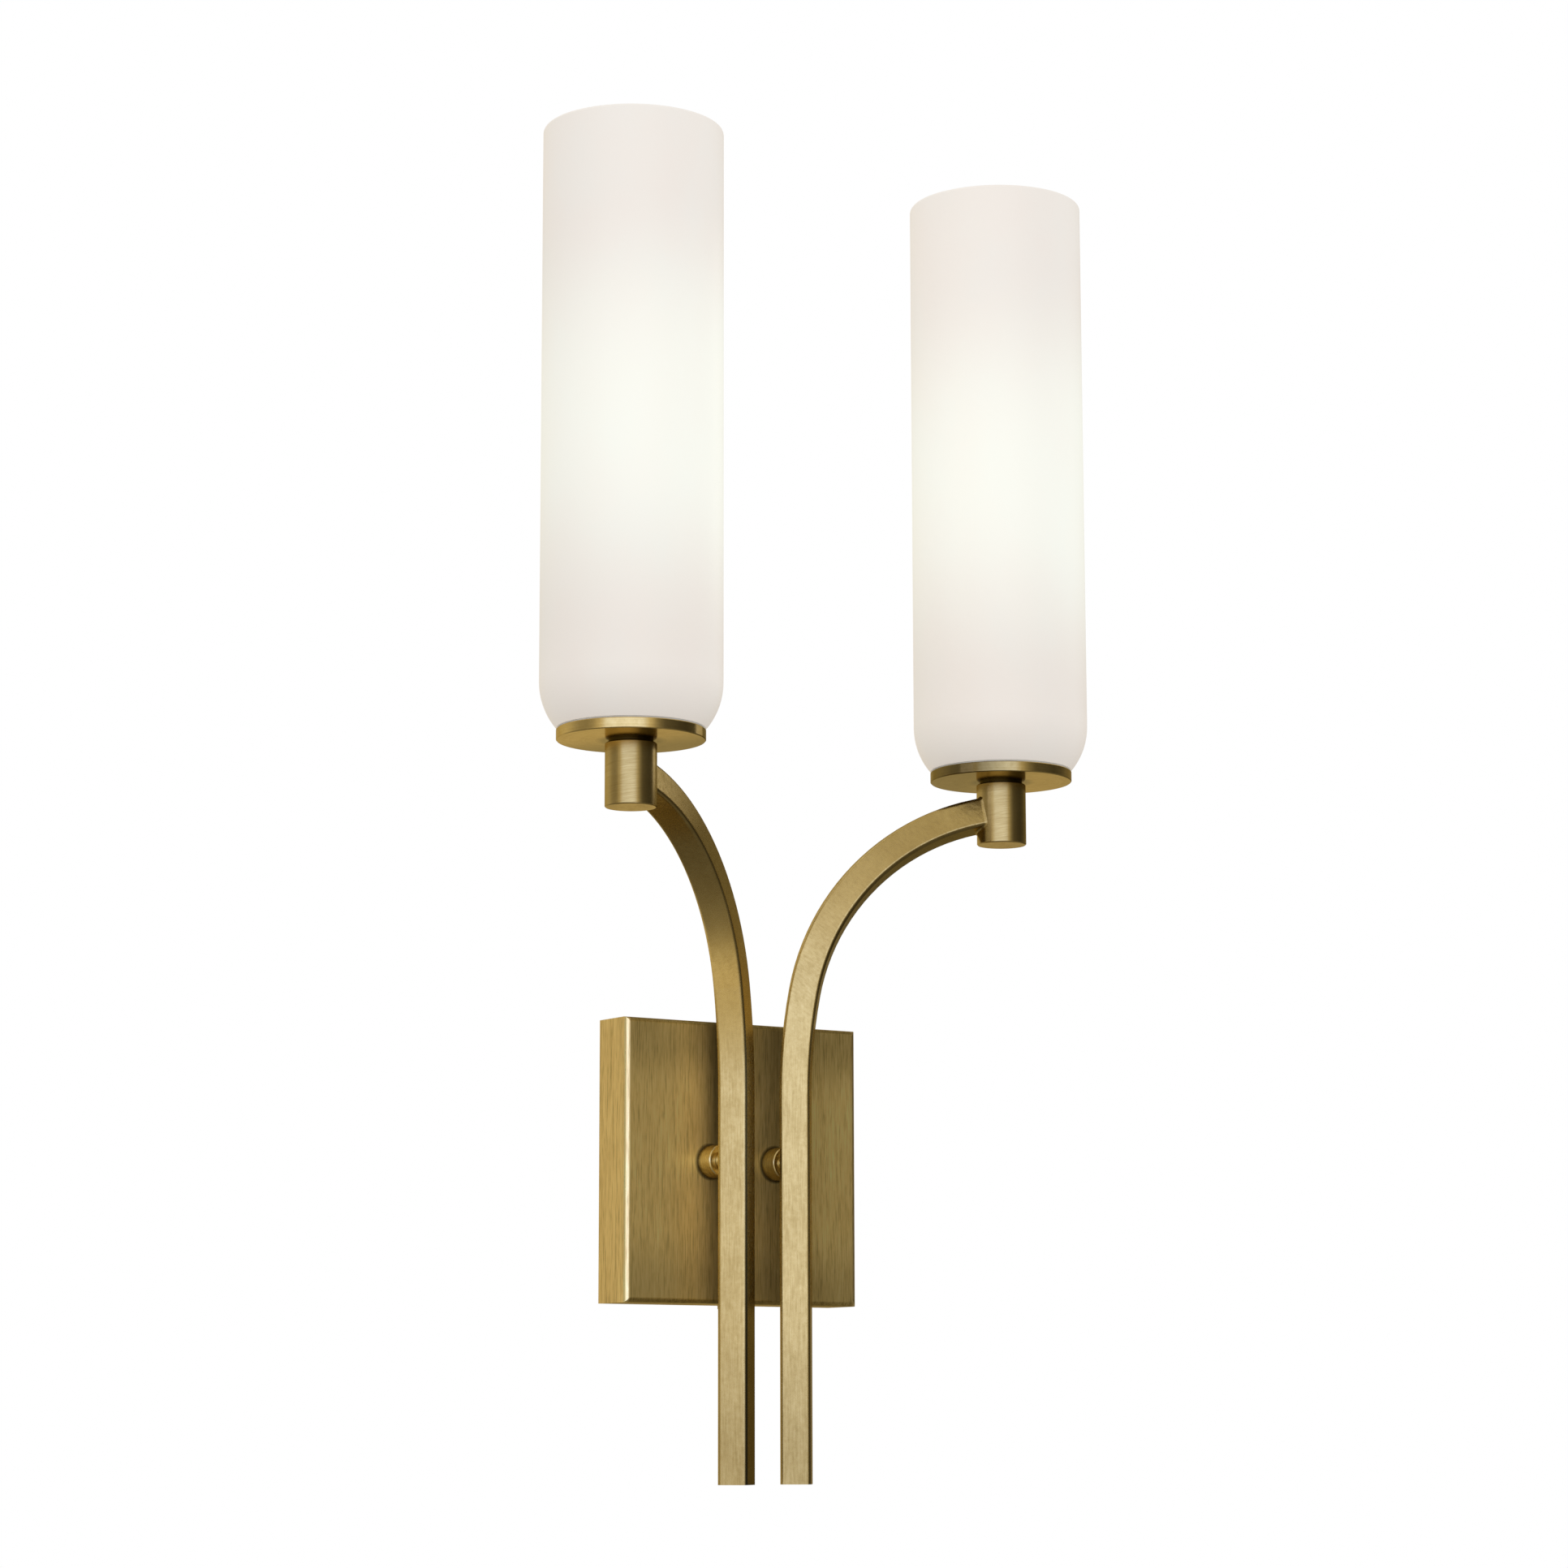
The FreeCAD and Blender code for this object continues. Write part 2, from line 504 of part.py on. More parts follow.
def make_disc_fixings(side):
    length = "light_nipple_grip + disc_thickness + light_nipple_rise"
    nipple = lathe(f"{side}_light_nipple_turned", [
        ("light_nipple_bore / 2", "0"), ("light_nipple / 2", "0"), ("light_nipple / 2", length),
        ("light_nipple_bore / 2", length)])
    keep(at_light(nipple, side, "stem_top - light_nipple_grip"), f"{side}_light_nipple")
    bore = "light_nipple + 2 * thread_gap"
    washer = cut(f"{side}_disc_washer_cut",
                 rod(f"{side}_disc_washer_blank", "disc_washer", "disc_washer_gauge"),
                 place(rod(f"{side}_disc_washer_bore", bore, "3 * disc_washer_gauge"),
                       z="-disc_washer_gauge"))
    keep(at_light(washer, side, "disc_top"), f"{side}_disc_washer")
    nut = cut(f"{side}_disc_nut_cut", prism(f"{side}_disc_nut_hexagon", 6, "disc_nut", "disc_nut_height"),
              place(rod(f"{side}_disc_nut_bore", bore, "3 * disc_nut_height"), z="-disc_nut_height"))
    keep(at_light(nut, side, "nut_foot"), f"{side}_disc_nut")


def make_shade(side):
    """Mouth-blown cylinder: round shoulder, flat floor with a hole, flat-ground top rim."""
    outer, inner = "glass_diameter / 2", "glass_diameter / 2 - glass_wall"
    hole, rim = "glass_hole / 2", "glass_height - glass_lip"
    shade = lathe(f"{side}_shade_glass", [
        (hole, "0"), ("glass_foot_radius", "0"), (outer, "shoulder_height", "shoulder_radius", 1),
        (outer, rim), (f"{outer} - glass_lip", "glass_height", "glass_lip", 1),
        (f"{inner} + glass_lip", "glass_height"), (inner, rim, "glass_lip", 1),
        (inner, "shoulder_height"), ("floor_radius", "glass_wall", "inner_shoulder", -1),
        (hole, "glass_wall")])
    keep(at_light(shade, side, "glass_foot"), f"{side}_glass_shade")
    outside = "glass_foot_radius - gasket_inset"
    gasket = lathe(f"{side}_gasket_ring", [
        (f"{outside} - gasket_width", "0"), (outside, "0"), (outside, "gasket_gauge"),
        (f"{outside} - gasket_width", "gasket_gauge")])
    keep(at_light(gasket, side, "disc_top"), f"{side}_shade_gasket")


def make_shade_ring(side):
    """Threaded ring with finger lugs, screwed down on the lampholder to clamp the glass."""
    bore = "socket_diameter / 2 + ring_gap"
    turned = lathe(f"{side}_ring_turned", [
        (bore, "0"), ("ring_flange / 2", "0"), ("ring_flange / 2", "ring_flange_gauge"),
        ("ring_collar / 2", "ring_flange_gauge"), ("ring_collar / 2", "ring_height"),
        (bore, "ring_height")])
    notches = []
    for number in range(int(value("ring_lugs"))):
        turn = f"{number} * 360 / ring_lugs"
        reach = "(ring_flange / 2)"
        notches.append(place(rod(f"{side}_ring_notch_{number}", "ring_lug", "3 * ring_flange_gauge"),
                             f"{reach} * cos({turn})", f"{reach} * sin({turn})", "-ring_flange_gauge"))
    ring = cut(f"{side}_ring_cut", turned, *notches)
    keep(at_light(ring, side, "glass_foot + glass_wall + ring_rest"), f"{side}_shade_ring")


# ---------------------------------------------------------------- lampholder

def make_socket(side):
    """Moulded lampholder: threaded outside, wiring chamber below, screw shell chamber above."""
    bushing_hole = "bushing_barrel / 2 + thread_gap"
    crest, root = "socket_diameter / 2", "socket_diameter / 2 - socket_thread_depth"
    outline = [(bushing_hole, "0"), (root, "0")]
    threads = int(value("socket_thread_top / socket_pitch"))
    for number in range(threads):
        foot = f"{number} * socket_pitch"
        outline += [(crest, f"{foot} + socket_pitch / 4"), (crest, f"{foot} + socket_pitch / 2"),
                    (root, f"{foot} + 3 * socket_pitch / 4"), (root, f"{foot} + socket_pitch")]
    seat = "shell_diameter / 2 + shell_gap"
    rivet = "rivet_size / 2 + rivet_gap"
    outline += [
        ("socket_neck / 2", f"{threads} * socket_pitch"), ("socket_neck / 2", "socket_height"),
        (seat, "socket_height"), (seat, "partition_top"), (rivet, "partition_top"),
        (rivet, "partition_foot"), ("chamber_diameter / 2", "partition_foot"),
        ("chamber_diameter / 2", "socket_floor"), (bushing_hole, "socket_floor")]
    terminal_holes = [place(rod(f"{side}_terminal_hole_{end + 1}", "terminal_size + 2 * rivet_gap",
                                "partition"), f"{end} * terminal_offset",
                            z="partition_foot + terminal_depth - partition") for end in (-1, 1)]
    moulding = cut(f"{side}_socket_cut", lathe(f"{side}_socket_turned", outline), *terminal_holes)
    keep(at_light(moulding, side, "socket_foot"), f"{side}_socket")


def make_socket_metal(side):
    """Bushing on the nipple, screw shell, centre contact on its rivet, and the wire terminals."""
    thread = "light_nipple / 2 + thread_gap"
    top = "bushing_flange_gauge + socket_floor + bushing_rise"
    bushing = lathe(f"{side}_bushing_turned", [
        (thread, "0"), ("bushing_flange / 2", "0"), ("bushing_flange / 2", "bushing_flange_gauge"),
        ("bushing_barrel / 2", "bushing_flange_gauge"), ("bushing_barrel / 2", top), (thread, top)])
    keep(at_light(bushing, side, "bushing_foot"), f"{side}_socket_bushing")

    crest, root = "shell_diameter / 2", "shell_diameter / 2 - shell_wave"
    wave = [(root if number % 2 else crest, f"{number} * shell_wave_height")
            for number in range(int(value("shell_waves")) + 1)]
    shell = lathe(f"{side}_shell_rolled",
                  wave + [(f"{radius} - shell_gauge", height) for radius, height in reversed(wave)])
    keep(at_light(shell, side, "socket_foot + partition_top"), f"{side}_screw_shell")

    shank = "rivet_head_gauge + partition"
    contact = lathe(f"{side}_contact_turned", [
        ("0", "0"), ("rivet_head / 2", "0"), ("rivet_head / 2", "rivet_head_gauge"),
        ("rivet_size / 2", "rivet_head_gauge"), ("rivet_size / 2", shank),
        ("contact_size / 2", shank), ("contact_size / 2", f"{shank} + contact_gauge"),
        ("contact_tip / 2", f"{shank} + contact_gauge + contact_rise"),
        ("0", f"{shank} + contact_gauge + contact_rise")])
    keep(at_light(contact, side, "socket_foot + partition_foot - rivet_head_gauge"),
         f"{side}_centre_contact")

    screws = []
    for end in (-1, 1):
        screw = lathe(f"{side}_terminal_{end + 1}", [
            ("0", "0"), ("terminal_head / 2", "0"), ("terminal_head / 2", "terminal_head_height"),
            ("terminal_size / 2", "terminal_head_height"),
            ("terminal_size / 2", "terminal_head_height + terminal_depth"),
            ("0", "terminal_head_height + terminal_depth")])
        screws.append(place(screw, f"{end} * terminal_offset"))
    pair = group(f"{side}_terminal_pair", *screws)
    keep(at_light(pair, side, "socket_foot + partition_foot - terminal_head_height"),
         f"{side}_terminal_screws")


# ---------------------------------------------------------------- lamp

def make_lamp_base(side):
    """From the bottom up: contact tip, insulator, and the rolled cap with the cement that fills it."""
    tip = lathe(f"{side}_lamp_tip", [
        ("0", "0"), ("tip_flat / 2", "0"), ("tip_diameter / 2", "tip_height"), ("0", "tip_height")])
    keep(at_light(tip, side, "lamp_foot"), f"{side}_lamp_contact")

    insulator = lathe(f"{side}_insulator_cone", [
        ("0", "0"), ("tip_diameter / 2", "0"), ("insulator_diameter / 2", "insulator_height"),
        ("0", "insulator_height")])
    keep(at_light(insulator, side, "lamp_foot + tip_height"), f"{side}_lamp_insulator")

    crest, root = "base_diameter / 2", "base_diameter / 2 - base_groove"
    wave = [("insulator_diameter / 2", "0")]
    for number in range(int(value("base_turns"))):
        foot = f"{number} * base_pitch"
        wave += [(root, f"{foot} + base_pitch / 8"), (crest, f"{foot} + base_pitch / 2"),
                 (root, f"{foot} + 7 * base_pitch / 8")]
    top, rim = "base_top - base_foot", f"{crest} - base_gauge"
    cap = lathe(f"{side}_base_rolled", [
        ("0", "0"), *wave, (crest, "base_turns * base_pitch"), (crest, top), (rim, top),
        (rim, f"{top} - neck_seat"), ("0", f"{top} - neck_seat")])
    keep(at_light(cap, side, "lamp_foot + base_foot"), f"{side}_lamp_base")


def make_lamp_glass(side):
    """Blown bulb: neck seated in the base, swept out into a round globe, of even wall."""
    centre = "neck_radius + neck_sweep"
    blend = (f"blend_share * ({centre})", "globe_height - blend_share * globe_drop")
    inner_blend = (f"inner_share * ({centre})", "globe_height - inner_share * globe_drop")
    globe = lathe(f"{side}_globe_blown", [
        ("neck_radius - globe_wall", "neck_foot"), ("neck_radius", "neck_foot"),
        ("neck_radius", "neck_height"), (*blend, "neck_sweep", -1),
        ("0", "globe_height + globe_radius", "globe_radius", 1),
        ("0", "globe_height + globe_radius - globe_wall"),
        (*inner_blend, "globe_radius - globe_wall", -1),
        ("neck_radius - globe_wall", "neck_height", "neck_sweep + globe_wall", 1)])
    keep(at_light(globe, side, "lamp_foot"), f"{side}_lamp_globe")

    flare = "neck_radius - globe_wall - flare_gap"
    plate = "filament_circle / 2 + filament_diameter"
    pillar = lathe(f"{side}_pillar", [
        ("0", "neck_foot"), (flare, "neck_foot"), (flare, "neck_foot + flare_height"),
        ("pillar_diameter / 2", "neck_foot + pillar_foot"),
        ("pillar_tip / 2", "pillar_height"), (plate, "pillar_height"),
        (plate, "pillar_height + filament_plate"), ("0", "pillar_height + filament_plate")])
    filaments = []
    for number in range(int(value("filaments"))):
        turn = f"{number} * 360 / filaments"
        filaments.append(place(
            rod(f"{side}_filament_{number}", "filament_diameter", "filament_length"),
            f"filament_circle / 2 * cos({turn})", f"filament_circle / 2 * sin({turn})",
            "pillar_height"))
    light = doc.addObject("Part::MultiFuse", f"{side}_filament_fuse")
    light.Shapes = [pillar, *filaments]
    keep(at_light(light, side, "lamp_foot"), f"{side}_lamp_filament")


# ---------------------------------------------------------------- build, check and write

make_canopy()
make_mounting_plate()
make_screws()
make_stiffener()
for side in SIDES:
    make_post(side)
    make_arm(side)
    make_arm_fixings(side)
    make_stem(side)
    make_disc(side)
    make_disc_fixings(side)
    make_shade(side)
    make_shade_ring(side)
    make_socket(side)
    make_socket_metal(side)
    make_lamp_base(side)
    make_lamp_glass(side)

doc.recompute()
for thing in doc.Objects:
    if "Invalid" in thing.State or "Error" in thing.State:
        raise RuntimeError(f"{thing.Name} failed: {thing.State}")
for part in subparts:
    if part.Shape.isNull() or not part.Shape.isValid():
        raise RuntimeError(f"{part.Label} has no valid shape")

os.makedirs("parts", exist_ok=True)
for part in subparts:
    part.Shape.exportStep(os.path.join("parts", part.Label + ".step"))
    print(f"{part.Label}: {len(part.Shape.Solids)} solid(s), {part.Shape.Volume / 1000:.2f} cm3")
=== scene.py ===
"""Looks of a two-light wall sconce: brass canopy, arms, stems and discs under two lit opal glass shades.

Metres. +X is right and +Z is up as seen from the room, the wall plane is Y = 0 and the room lies towards -Y.
"""
import json
import math

import bmesh
import bpy
from mathutils import Matrix, Vector


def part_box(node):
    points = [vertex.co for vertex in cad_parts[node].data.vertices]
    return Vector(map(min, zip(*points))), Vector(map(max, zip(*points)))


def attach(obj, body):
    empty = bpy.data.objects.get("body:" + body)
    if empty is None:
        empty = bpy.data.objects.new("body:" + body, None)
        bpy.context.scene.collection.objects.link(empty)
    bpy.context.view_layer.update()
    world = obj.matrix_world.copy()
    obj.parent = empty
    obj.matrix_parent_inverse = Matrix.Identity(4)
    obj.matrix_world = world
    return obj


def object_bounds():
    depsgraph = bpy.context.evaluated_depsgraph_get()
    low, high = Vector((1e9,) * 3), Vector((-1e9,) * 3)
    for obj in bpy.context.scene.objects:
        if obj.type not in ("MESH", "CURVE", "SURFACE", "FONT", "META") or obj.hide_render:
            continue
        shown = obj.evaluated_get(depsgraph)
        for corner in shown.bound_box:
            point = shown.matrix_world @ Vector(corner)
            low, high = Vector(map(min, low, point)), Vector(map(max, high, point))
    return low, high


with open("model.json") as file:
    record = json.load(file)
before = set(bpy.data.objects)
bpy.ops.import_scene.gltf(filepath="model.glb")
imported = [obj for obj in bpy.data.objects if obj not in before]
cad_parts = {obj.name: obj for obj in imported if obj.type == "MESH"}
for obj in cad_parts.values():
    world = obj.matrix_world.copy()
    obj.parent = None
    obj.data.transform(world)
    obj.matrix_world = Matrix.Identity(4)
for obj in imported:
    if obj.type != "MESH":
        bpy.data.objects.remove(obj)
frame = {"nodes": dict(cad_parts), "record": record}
nodes = frame["nodes"]
cad_low, cad_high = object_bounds()

# ---------------------------------------------------------------- sizes and places

PICTURE_SIDE = 1932
FOCAL_PIXELS = 4811.1
SENSOR_WIDTH = 36.0
CAMERA_PLACE = (-0.91145, -1.38951, -0.11044)
CAMERA_YAW, CAMERA_PITCH, CAMERA_ROLL = 34.275, 9.39, 0.12

SIDES = {"left": -1, "right": 1}
LEVEL = Vector((1.0, 1.0, 0.0))


def middle(node):
    """Centre of a CAD node's box."""
    low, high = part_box(node)
    return (low + high) / 2


LIGHT = middle("right_disc")
STEM_RADIUS = (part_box("right_stem")[1].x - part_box("right_stem")[0].x) / 2
STEM_TOP, NECK_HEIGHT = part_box("right_stem")[1].z, 0.0010
JOINT_ABOVE_FOOT = 0.0145
JOINT_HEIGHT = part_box("right_stem")[0].z + JOINT_ABOVE_FOOT
SHADE_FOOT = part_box("right_glass_shade")[0].z
SHADE_RADIUS = (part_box("right_glass_shade")[1].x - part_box("right_glass_shade")[0].x) / 2

# degrees: plane of the bend and turn of the square bar, both against the wall, and how far it bends
BEND_TURN, BAR_TURN, SWEEP_ANGLE = 28.0, 38.7, 77.5
BAR_SIDE, BAR_ROUND = 0.0127, 0.0016


def look(azimuth, elevation=0.0):
    """Unit vector out from the object: azimuth 0 is the room side (-Y), 90 is +X."""
    across, up = math.radians(azimuth), math.radians(elevation)
    return Vector((math.sin(across) * math.cos(up), -math.cos(across) * math.cos(up), math.sin(up)))


INWARD = -look(90.0 - BEND_TURN)


# ---------------------------------------------------------------- camera, floor and light

def make_camera():
    data = bpy.data.cameras.new("photo_camera")
    data.sensor_width = SENSOR_WIDTH
    data.lens = SENSOR_WIDTH * FOCAL_PIXELS / PICTURE_SIDE
    camera = bpy.data.objects.new("photo_camera", data)
    camera.matrix_world = (
        Matrix.Translation(CAMERA_PLACE)
        @ Matrix.Rotation(math.radians(-CAMERA_YAW), 4, "Z")
        @ Matrix.Rotation(math.radians(90 + CAMERA_PITCH), 4, "X")
        @ Matrix.Rotation(math.radians(-CAMERA_ROLL), 4, "Z"))
    bpy.context.scene.collection.objects.link(camera)
    bpy.context.scene.camera = camera


def make_softbox(name, azimuth, elevation, distance, width, height, radiance, colour):
    """Rectangular lamp that faces the object, set by how bright its face looks."""
    data = bpy.data.lights.new(name, "AREA")
    data.shape = "RECTANGLE"
    data.size, data.size_y = width, height
    data.energy = math.pi * width * height * radiance
    data.color = colour
    lamp = bpy.data.objects.new(name, data)
    out = look(azimuth, elevation)
    lamp.matrix_world = Matrix.Translation(out * distance) @ out.to_track_quat("Z", "Y").to_matrix().to_4x4()
    lamp.visible_camera = lamp.visible_glossy = False
    bpy.context.scene.collection.objects.link(lamp)


# ---------------------------------------------------------------- shader building

class Tree:
    """Adds nodes to a node tree and links them by socket."""

    def __init__(self, tree):
        self.tree = tree

    def add(self, kind, inputs=None, **options):
        node = self.tree.nodes.new(kind)
        for name, setting in options.items():
            setattr(node, name, setting)
        for name, given in (inputs or {}).items():
            self.put(node.inputs[name], given)
        return node

    def put(self, socket, given):
        """Link a socket to an output, or set its plain value."""
        if isinstance(given, bpy.types.NodeSocket):
            self.tree.links.new(given, socket)
        else:
            socket.default_value = given

    def math(self, operation, *terms):
        node = self.add("ShaderNodeMath", operation=operation)
        for socket, term in zip(node.inputs, terms):
            self.put(socket, term)
        return node.outputs[0]

    def vector(self, operation, *terms):
        node = self.add("ShaderNodeVectorMath", operation=operation)
        for socket, term in zip(node.inputs, terms):
            self.put(socket, term)
        return node.outputs["Value" if operation in ("LENGTH", "DISTANCE", "DOT_PRODUCT") else "Vector"]

    def split(self, vector):
        return self.add("ShaderNodeSeparateXYZ", {"Vector": vector}).outputs[:3]

    def join(self, x, y, z):
        return self.add("ShaderNodeCombineXYZ", {"X": x, "Y": y, "Z": z}).outputs[0]

    def grey(self, number):
        return self.join(number, number, number)

    def noise(self, vector, stretch, detail=3.0, roughness=0.5, turn=(0.0, 0.0, 0.0), distortion=0.0):
        """Noise whose stretch gives the number of features in a metre along each axis."""
        turned = self.add("ShaderNodeMapping", {
            "Vector": vector, "Rotation": tuple(math.radians(angle) for angle in turn)})
        scaled = self.vector("MULTIPLY", turned.outputs[0], stretch)
        return self.add("ShaderNodeTexNoise", {
            "Vector": scaled, "Scale": 1.0, "Detail": detail, "Roughness": roughness,
            "Distortion": distortion}).outputs[0]

    def ramp(self, factor, stops, interpolation="LINEAR"):
        """Colour ramp from (position, grey or colour) stops."""
        node = self.add("ShaderNodeValToRGB", {"Fac": factor})
        node.color_ramp.interpolation = interpolation
        elements = node.color_ramp.elements
        while len(elements) < len(stops):
            elements.new(1.0)
        for element, (position, tone) in zip(elements, stops):
            element.position = position
            element.color = (*((tone,) * 3 if isinstance(tone, float) else tone), 1.0)
        return node.outputs["Color"]

    def mix(self, factor, first, second, blend="MIX"):
        node = self.add("ShaderNodeMix", data_type="RGBA", blend_type=blend)
        for socket, given in ((node.inputs[0], factor), (node.inputs[6], first), (node.inputs[7], second)):
            if not isinstance(given, (bpy.types.NodeSocket, float)):
                given = (*given, 1.0)
            self.put(socket, given)
        return node.outputs[2]

    def fade(self, number, start, end, low=0.0, high=1.0):
        """Smooth step of a number from start to end, giving low to high."""
        return self.add("ShaderNodeMapRange", {
            "Value": number, "From Min": start, "From Max": end, "To Min": low, "To Max": high},
            interpolation_type="SMOOTHSTEP").outputs[0]


class Finish(Tree):
    """A procedural material around one Principled shader."""

    def __init__(self, name, **settings):
        self.material = bpy.data.materials.new(name)
        self.material.use_nodes = True
        super().__init__(self.material.node_tree)
        self.shader = self.material.node_tree.nodes["Principled BSDF"]
        for socket, given in settings.items():
            self.shader.inputs[socket.replace("_", " ")].default_value = given
        self.place = self.add("ShaderNodeTexCoord").outputs["Object"]
        self.x, self.y, self.z = self.split(self.place)

    def feed(self, socket, given):
        self.put(self.shader.inputs[socket], given)

    def bump(self, height, depth, strength=1.0):
        """Bump from a 0 to 1 height that stands for a depth in metres."""
        node = self.add("ShaderNodeBump", {"Strength": strength, "Distance": depth, "Height": height})
        self.feed("Normal", node.outputs[0])

    def mirrored(self):
        """Place with X folded, so that both sides of the object share it."""
        return self.join(self.math("ABSOLUTE", self.x), self.y, self.z)

    def from_light(self):
        """Place measured from the axis of the nearer light."""
        axis_x = self.math("MULTIPLY", self.math("SIGN", self.x), LIGHT.x)
        across, out = self.math("SUBTRACT", self.x, axis_x), self.math("SUBTRACT", self.y, LIGHT.y)
        return self.join(across, out, self.z)

    def radius(self):
        """Distance from the axis of the nearer light."""
        return self.vector("LENGTH", self.vector("MULTIPLY", self.from_light(), tuple(LEVEL)))


# ---------------------------------------------------------------- world

# what the brass mirrors, as (azimuth, level) stops round the object: level with it, higher and lower;
# set one by one against the photograph, as are the tones of the brass below
STUDIO_ROUND = (
    (-180, 0.55), (-150, 0.62), (-138, 0.52), (-125, 0.34), (-105, 0.24), (-92, 0.34), (-80, 0.74),
    (-67, 1.07), (-48, 1.12), (-26, 1.14), (-13, 1.04), (-2, 0.70), (9, 0.26), (21, 0.09),
    (60, 0.05), (80, 0.09), (100, 0.18), (132, 0.30), (150, 0.55), (180, 0.55))
STUDIO_HIGH = (
    (-180, 0.60), (-120, 0.64), (-80, 0.76), (-58, 0.70), (-20, 0.64), (10, 0.24), (60, 0.12),
    (110, 0.16), (150, 0.42), (180, 0.60))
STUDIO_LOW = (
    (-180, 0.56), (-120, 0.58), (-80, 0.66), (-40, 0.62), (-8, 0.36), (12, 0.12), (60, 0.06),
    (110, 0.10), (132, 0.24), (146, 0.58), (165, 0.54), (180, 0.54))
STUDIO_DEEP = 0.20
# heights on the unit sphere between which the levels change over
HIGH_BAND, LOW_BAND, DEEP_BAND = (0.12, 0.42), (0.01, -0.08), (-0.30, -0.75)
WINDOW_BAND = (0.72, 1.0)
STUDIO_WARM, STUDIO_WINDOW = (1.0, 0.86, 0.54), (1.10, 1.16, 1.34)
AMBIENT = 0.62


def make_world():
    """White behind the object; in its reflections a warm room with one wide bright window."""
    world = bpy.data.worlds.new("studio")
    world.use_nodes = True
    world.cycles.sampling_method = "NONE"
    bpy.context.scene.world = world
    tree = Tree(world.node_tree)
    world.node_tree.nodes.clear()
    x, y, z = tree.split(tree.add("ShaderNodeTexCoord").outputs["Generated"])
    turn = tree.math("ARCTAN2", x, tree.math("MULTIPLY", y, -1.0))
    share = tree.math("MULTIPLY_ADD", turn, 0.5 / math.pi, 0.5)
    level, high, low = (
        tree.ramp(share, [((angle + 180) / 360, float(tone)) for angle, tone in stops])
        for stops in (STUDIO_ROUND, STUDIO_HIGH, STUDIO_LOW))
    level = tree.mix(tree.fade(z, *HIGH_BAND), level, high)
    level = tree.mix(tree.fade(z, *LOW_BAND), level, low)
    level = tree.mix(tree.fade(z, *DEEP_BAND), level, (STUDIO_DEEP,) * 3)
    tint = tree.mix(tree.fade(tree.split(level)[0], *WINDOW_BAND), STUDIO_WARM, STUDIO_WINDOW)
    room = tree.mix(1.0, level, tint, "MULTIPLY")
    path = tree.add("ShaderNodeLightPath").outputs
    white = tree.math("MAXIMUM", path["Is Camera Ray"], path["Is Transmission Ray"])
    colour = tree.mix(path["Is Glossy Ray"], (AMBIENT,) * 3, room)
    colour = tree.mix(white, colour, (1.0, 1.0, 1.0))
    background = tree.add("ShaderNodeBackground", {"Color": colour, "Strength": 1.0})
    output = tree.add("ShaderNodeOutputWorld")
    tree.put(output.inputs["Surface"], background.outputs[0])


FLOOR_GAP, FLOOR_RADIUS = 0.25, 2.2
FLOOR_TONE, FLOOR_GLOW = 0.36, 0.70
FLOOR_RIM = (0.55 * FLOOR_RADIUS, 0.98 * FLOOR_RADIUS)


def make_floor():
    """Pale round floor below the light; it shows white with a soft shadow, and nothing from below."""
    bpy.ops.mesh.primitive_circle_add(
        vertices=96, radius=FLOOR_RADIUS, fill_type="NGON", location=(0, 0, cad_low.z - FLOOR_GAP))
    floor = bpy.context.object
    floor.name = "studio_floor"
    floor.visible_glossy = False
    finish = Finish("floor_paper", Roughness=0.9)
    finish.material.node_tree.nodes.remove(finish.shader)
    grain = finish.noise(finish.place, (900.0, 900.0, 900.0))
    tone = finish.ramp(grain, [(0.3, FLOOR_TONE), (0.7, FLOOR_TONE + 0.02)])
    diffuse = finish.add("ShaderNodeBsdfDiffuse", {"Color": tone})
    glow = finish.add("ShaderNodeEmission", {"Color": (1.0, 1.0, 1.0, 1.0)})
    path = finish.add("ShaderNodeLightPath").outputs
    finish.put(glow.inputs["Strength"], finish.math("MULTIPLY", path["Is Camera Ray"], FLOOR_GLOW))
    paper = finish.add("ShaderNodeAddShader")
    finish.put(paper.inputs[0], diffuse.outputs[0])
    finish.put(paper.inputs[1], glow.outputs[0])
    rim = finish.fade(finish.vector("LENGTH", finish.place), *FLOOR_RIM)
    unseen = finish.math("MAXIMUM", rim, finish.add("ShaderNodeNewGeometry").outputs["Backfacing"])
    clear = finish.add("ShaderNodeBsdfTransparent")
    surface = finish.add("ShaderNodeMixShader", {"Fac": unseen})
    finish.put(surface.inputs[1], paper.outputs[0])
    finish.put(surface.inputs[2], clear.outputs[0])
    output = finish.material.node_tree.nodes["Material Output"]
    finish.put(output.inputs["Surface"], surface.outputs[0])
    floor.data.materials.append(finish.material)


# ---------------------------------------------------------------- brass

# Tones multiply the colour of the metal, and most of them paint light and shade onto it. The groups of
# numbers are
# what fade takes: start and end along a height or a distance, and where there are four, the levels at both.
BRASS_DARK, BRASS, BRASS_LIGHT = (0.44, 0.335, 0.150), (0.57, 0.450, 0.220), (0.66, 0.545, 0.300)
CANOPY_DARK = (0.33, 0.262, 0.118)
EDGE_TINT = (0.90, 0.78, 0.50, 1.0)
WORN_ROUGHNESS = 0.30
GRAIN_REACH = 0.28
PATINA = ((0.30, (0.88, 0.86, 0.82)), (0.65, (1.0, 1.0, 1.0)))

CANOPY_SIDE, CANOPY_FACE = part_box("canopy")[1].x, -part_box("canopy")[0].y
CANOPY_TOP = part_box("canopy")[1].z
CANOPY_EDGE, RUB_START, RUB_END = 0.0022, 0.0003, 0.0009
# the rubbed front edges get a painted highlight, the side faces painted light
CANOPY_TONE, SIDE_PAINTED_LIGHT, EDGE_HIGHLIGHT_LIFT = 1.50, 0.16, 0.30
FACE_TONE, EDGE_HIGHLIGHT_PALE = (1.20, 1.20, 1.08), (1.0, 1.04, 1.30)
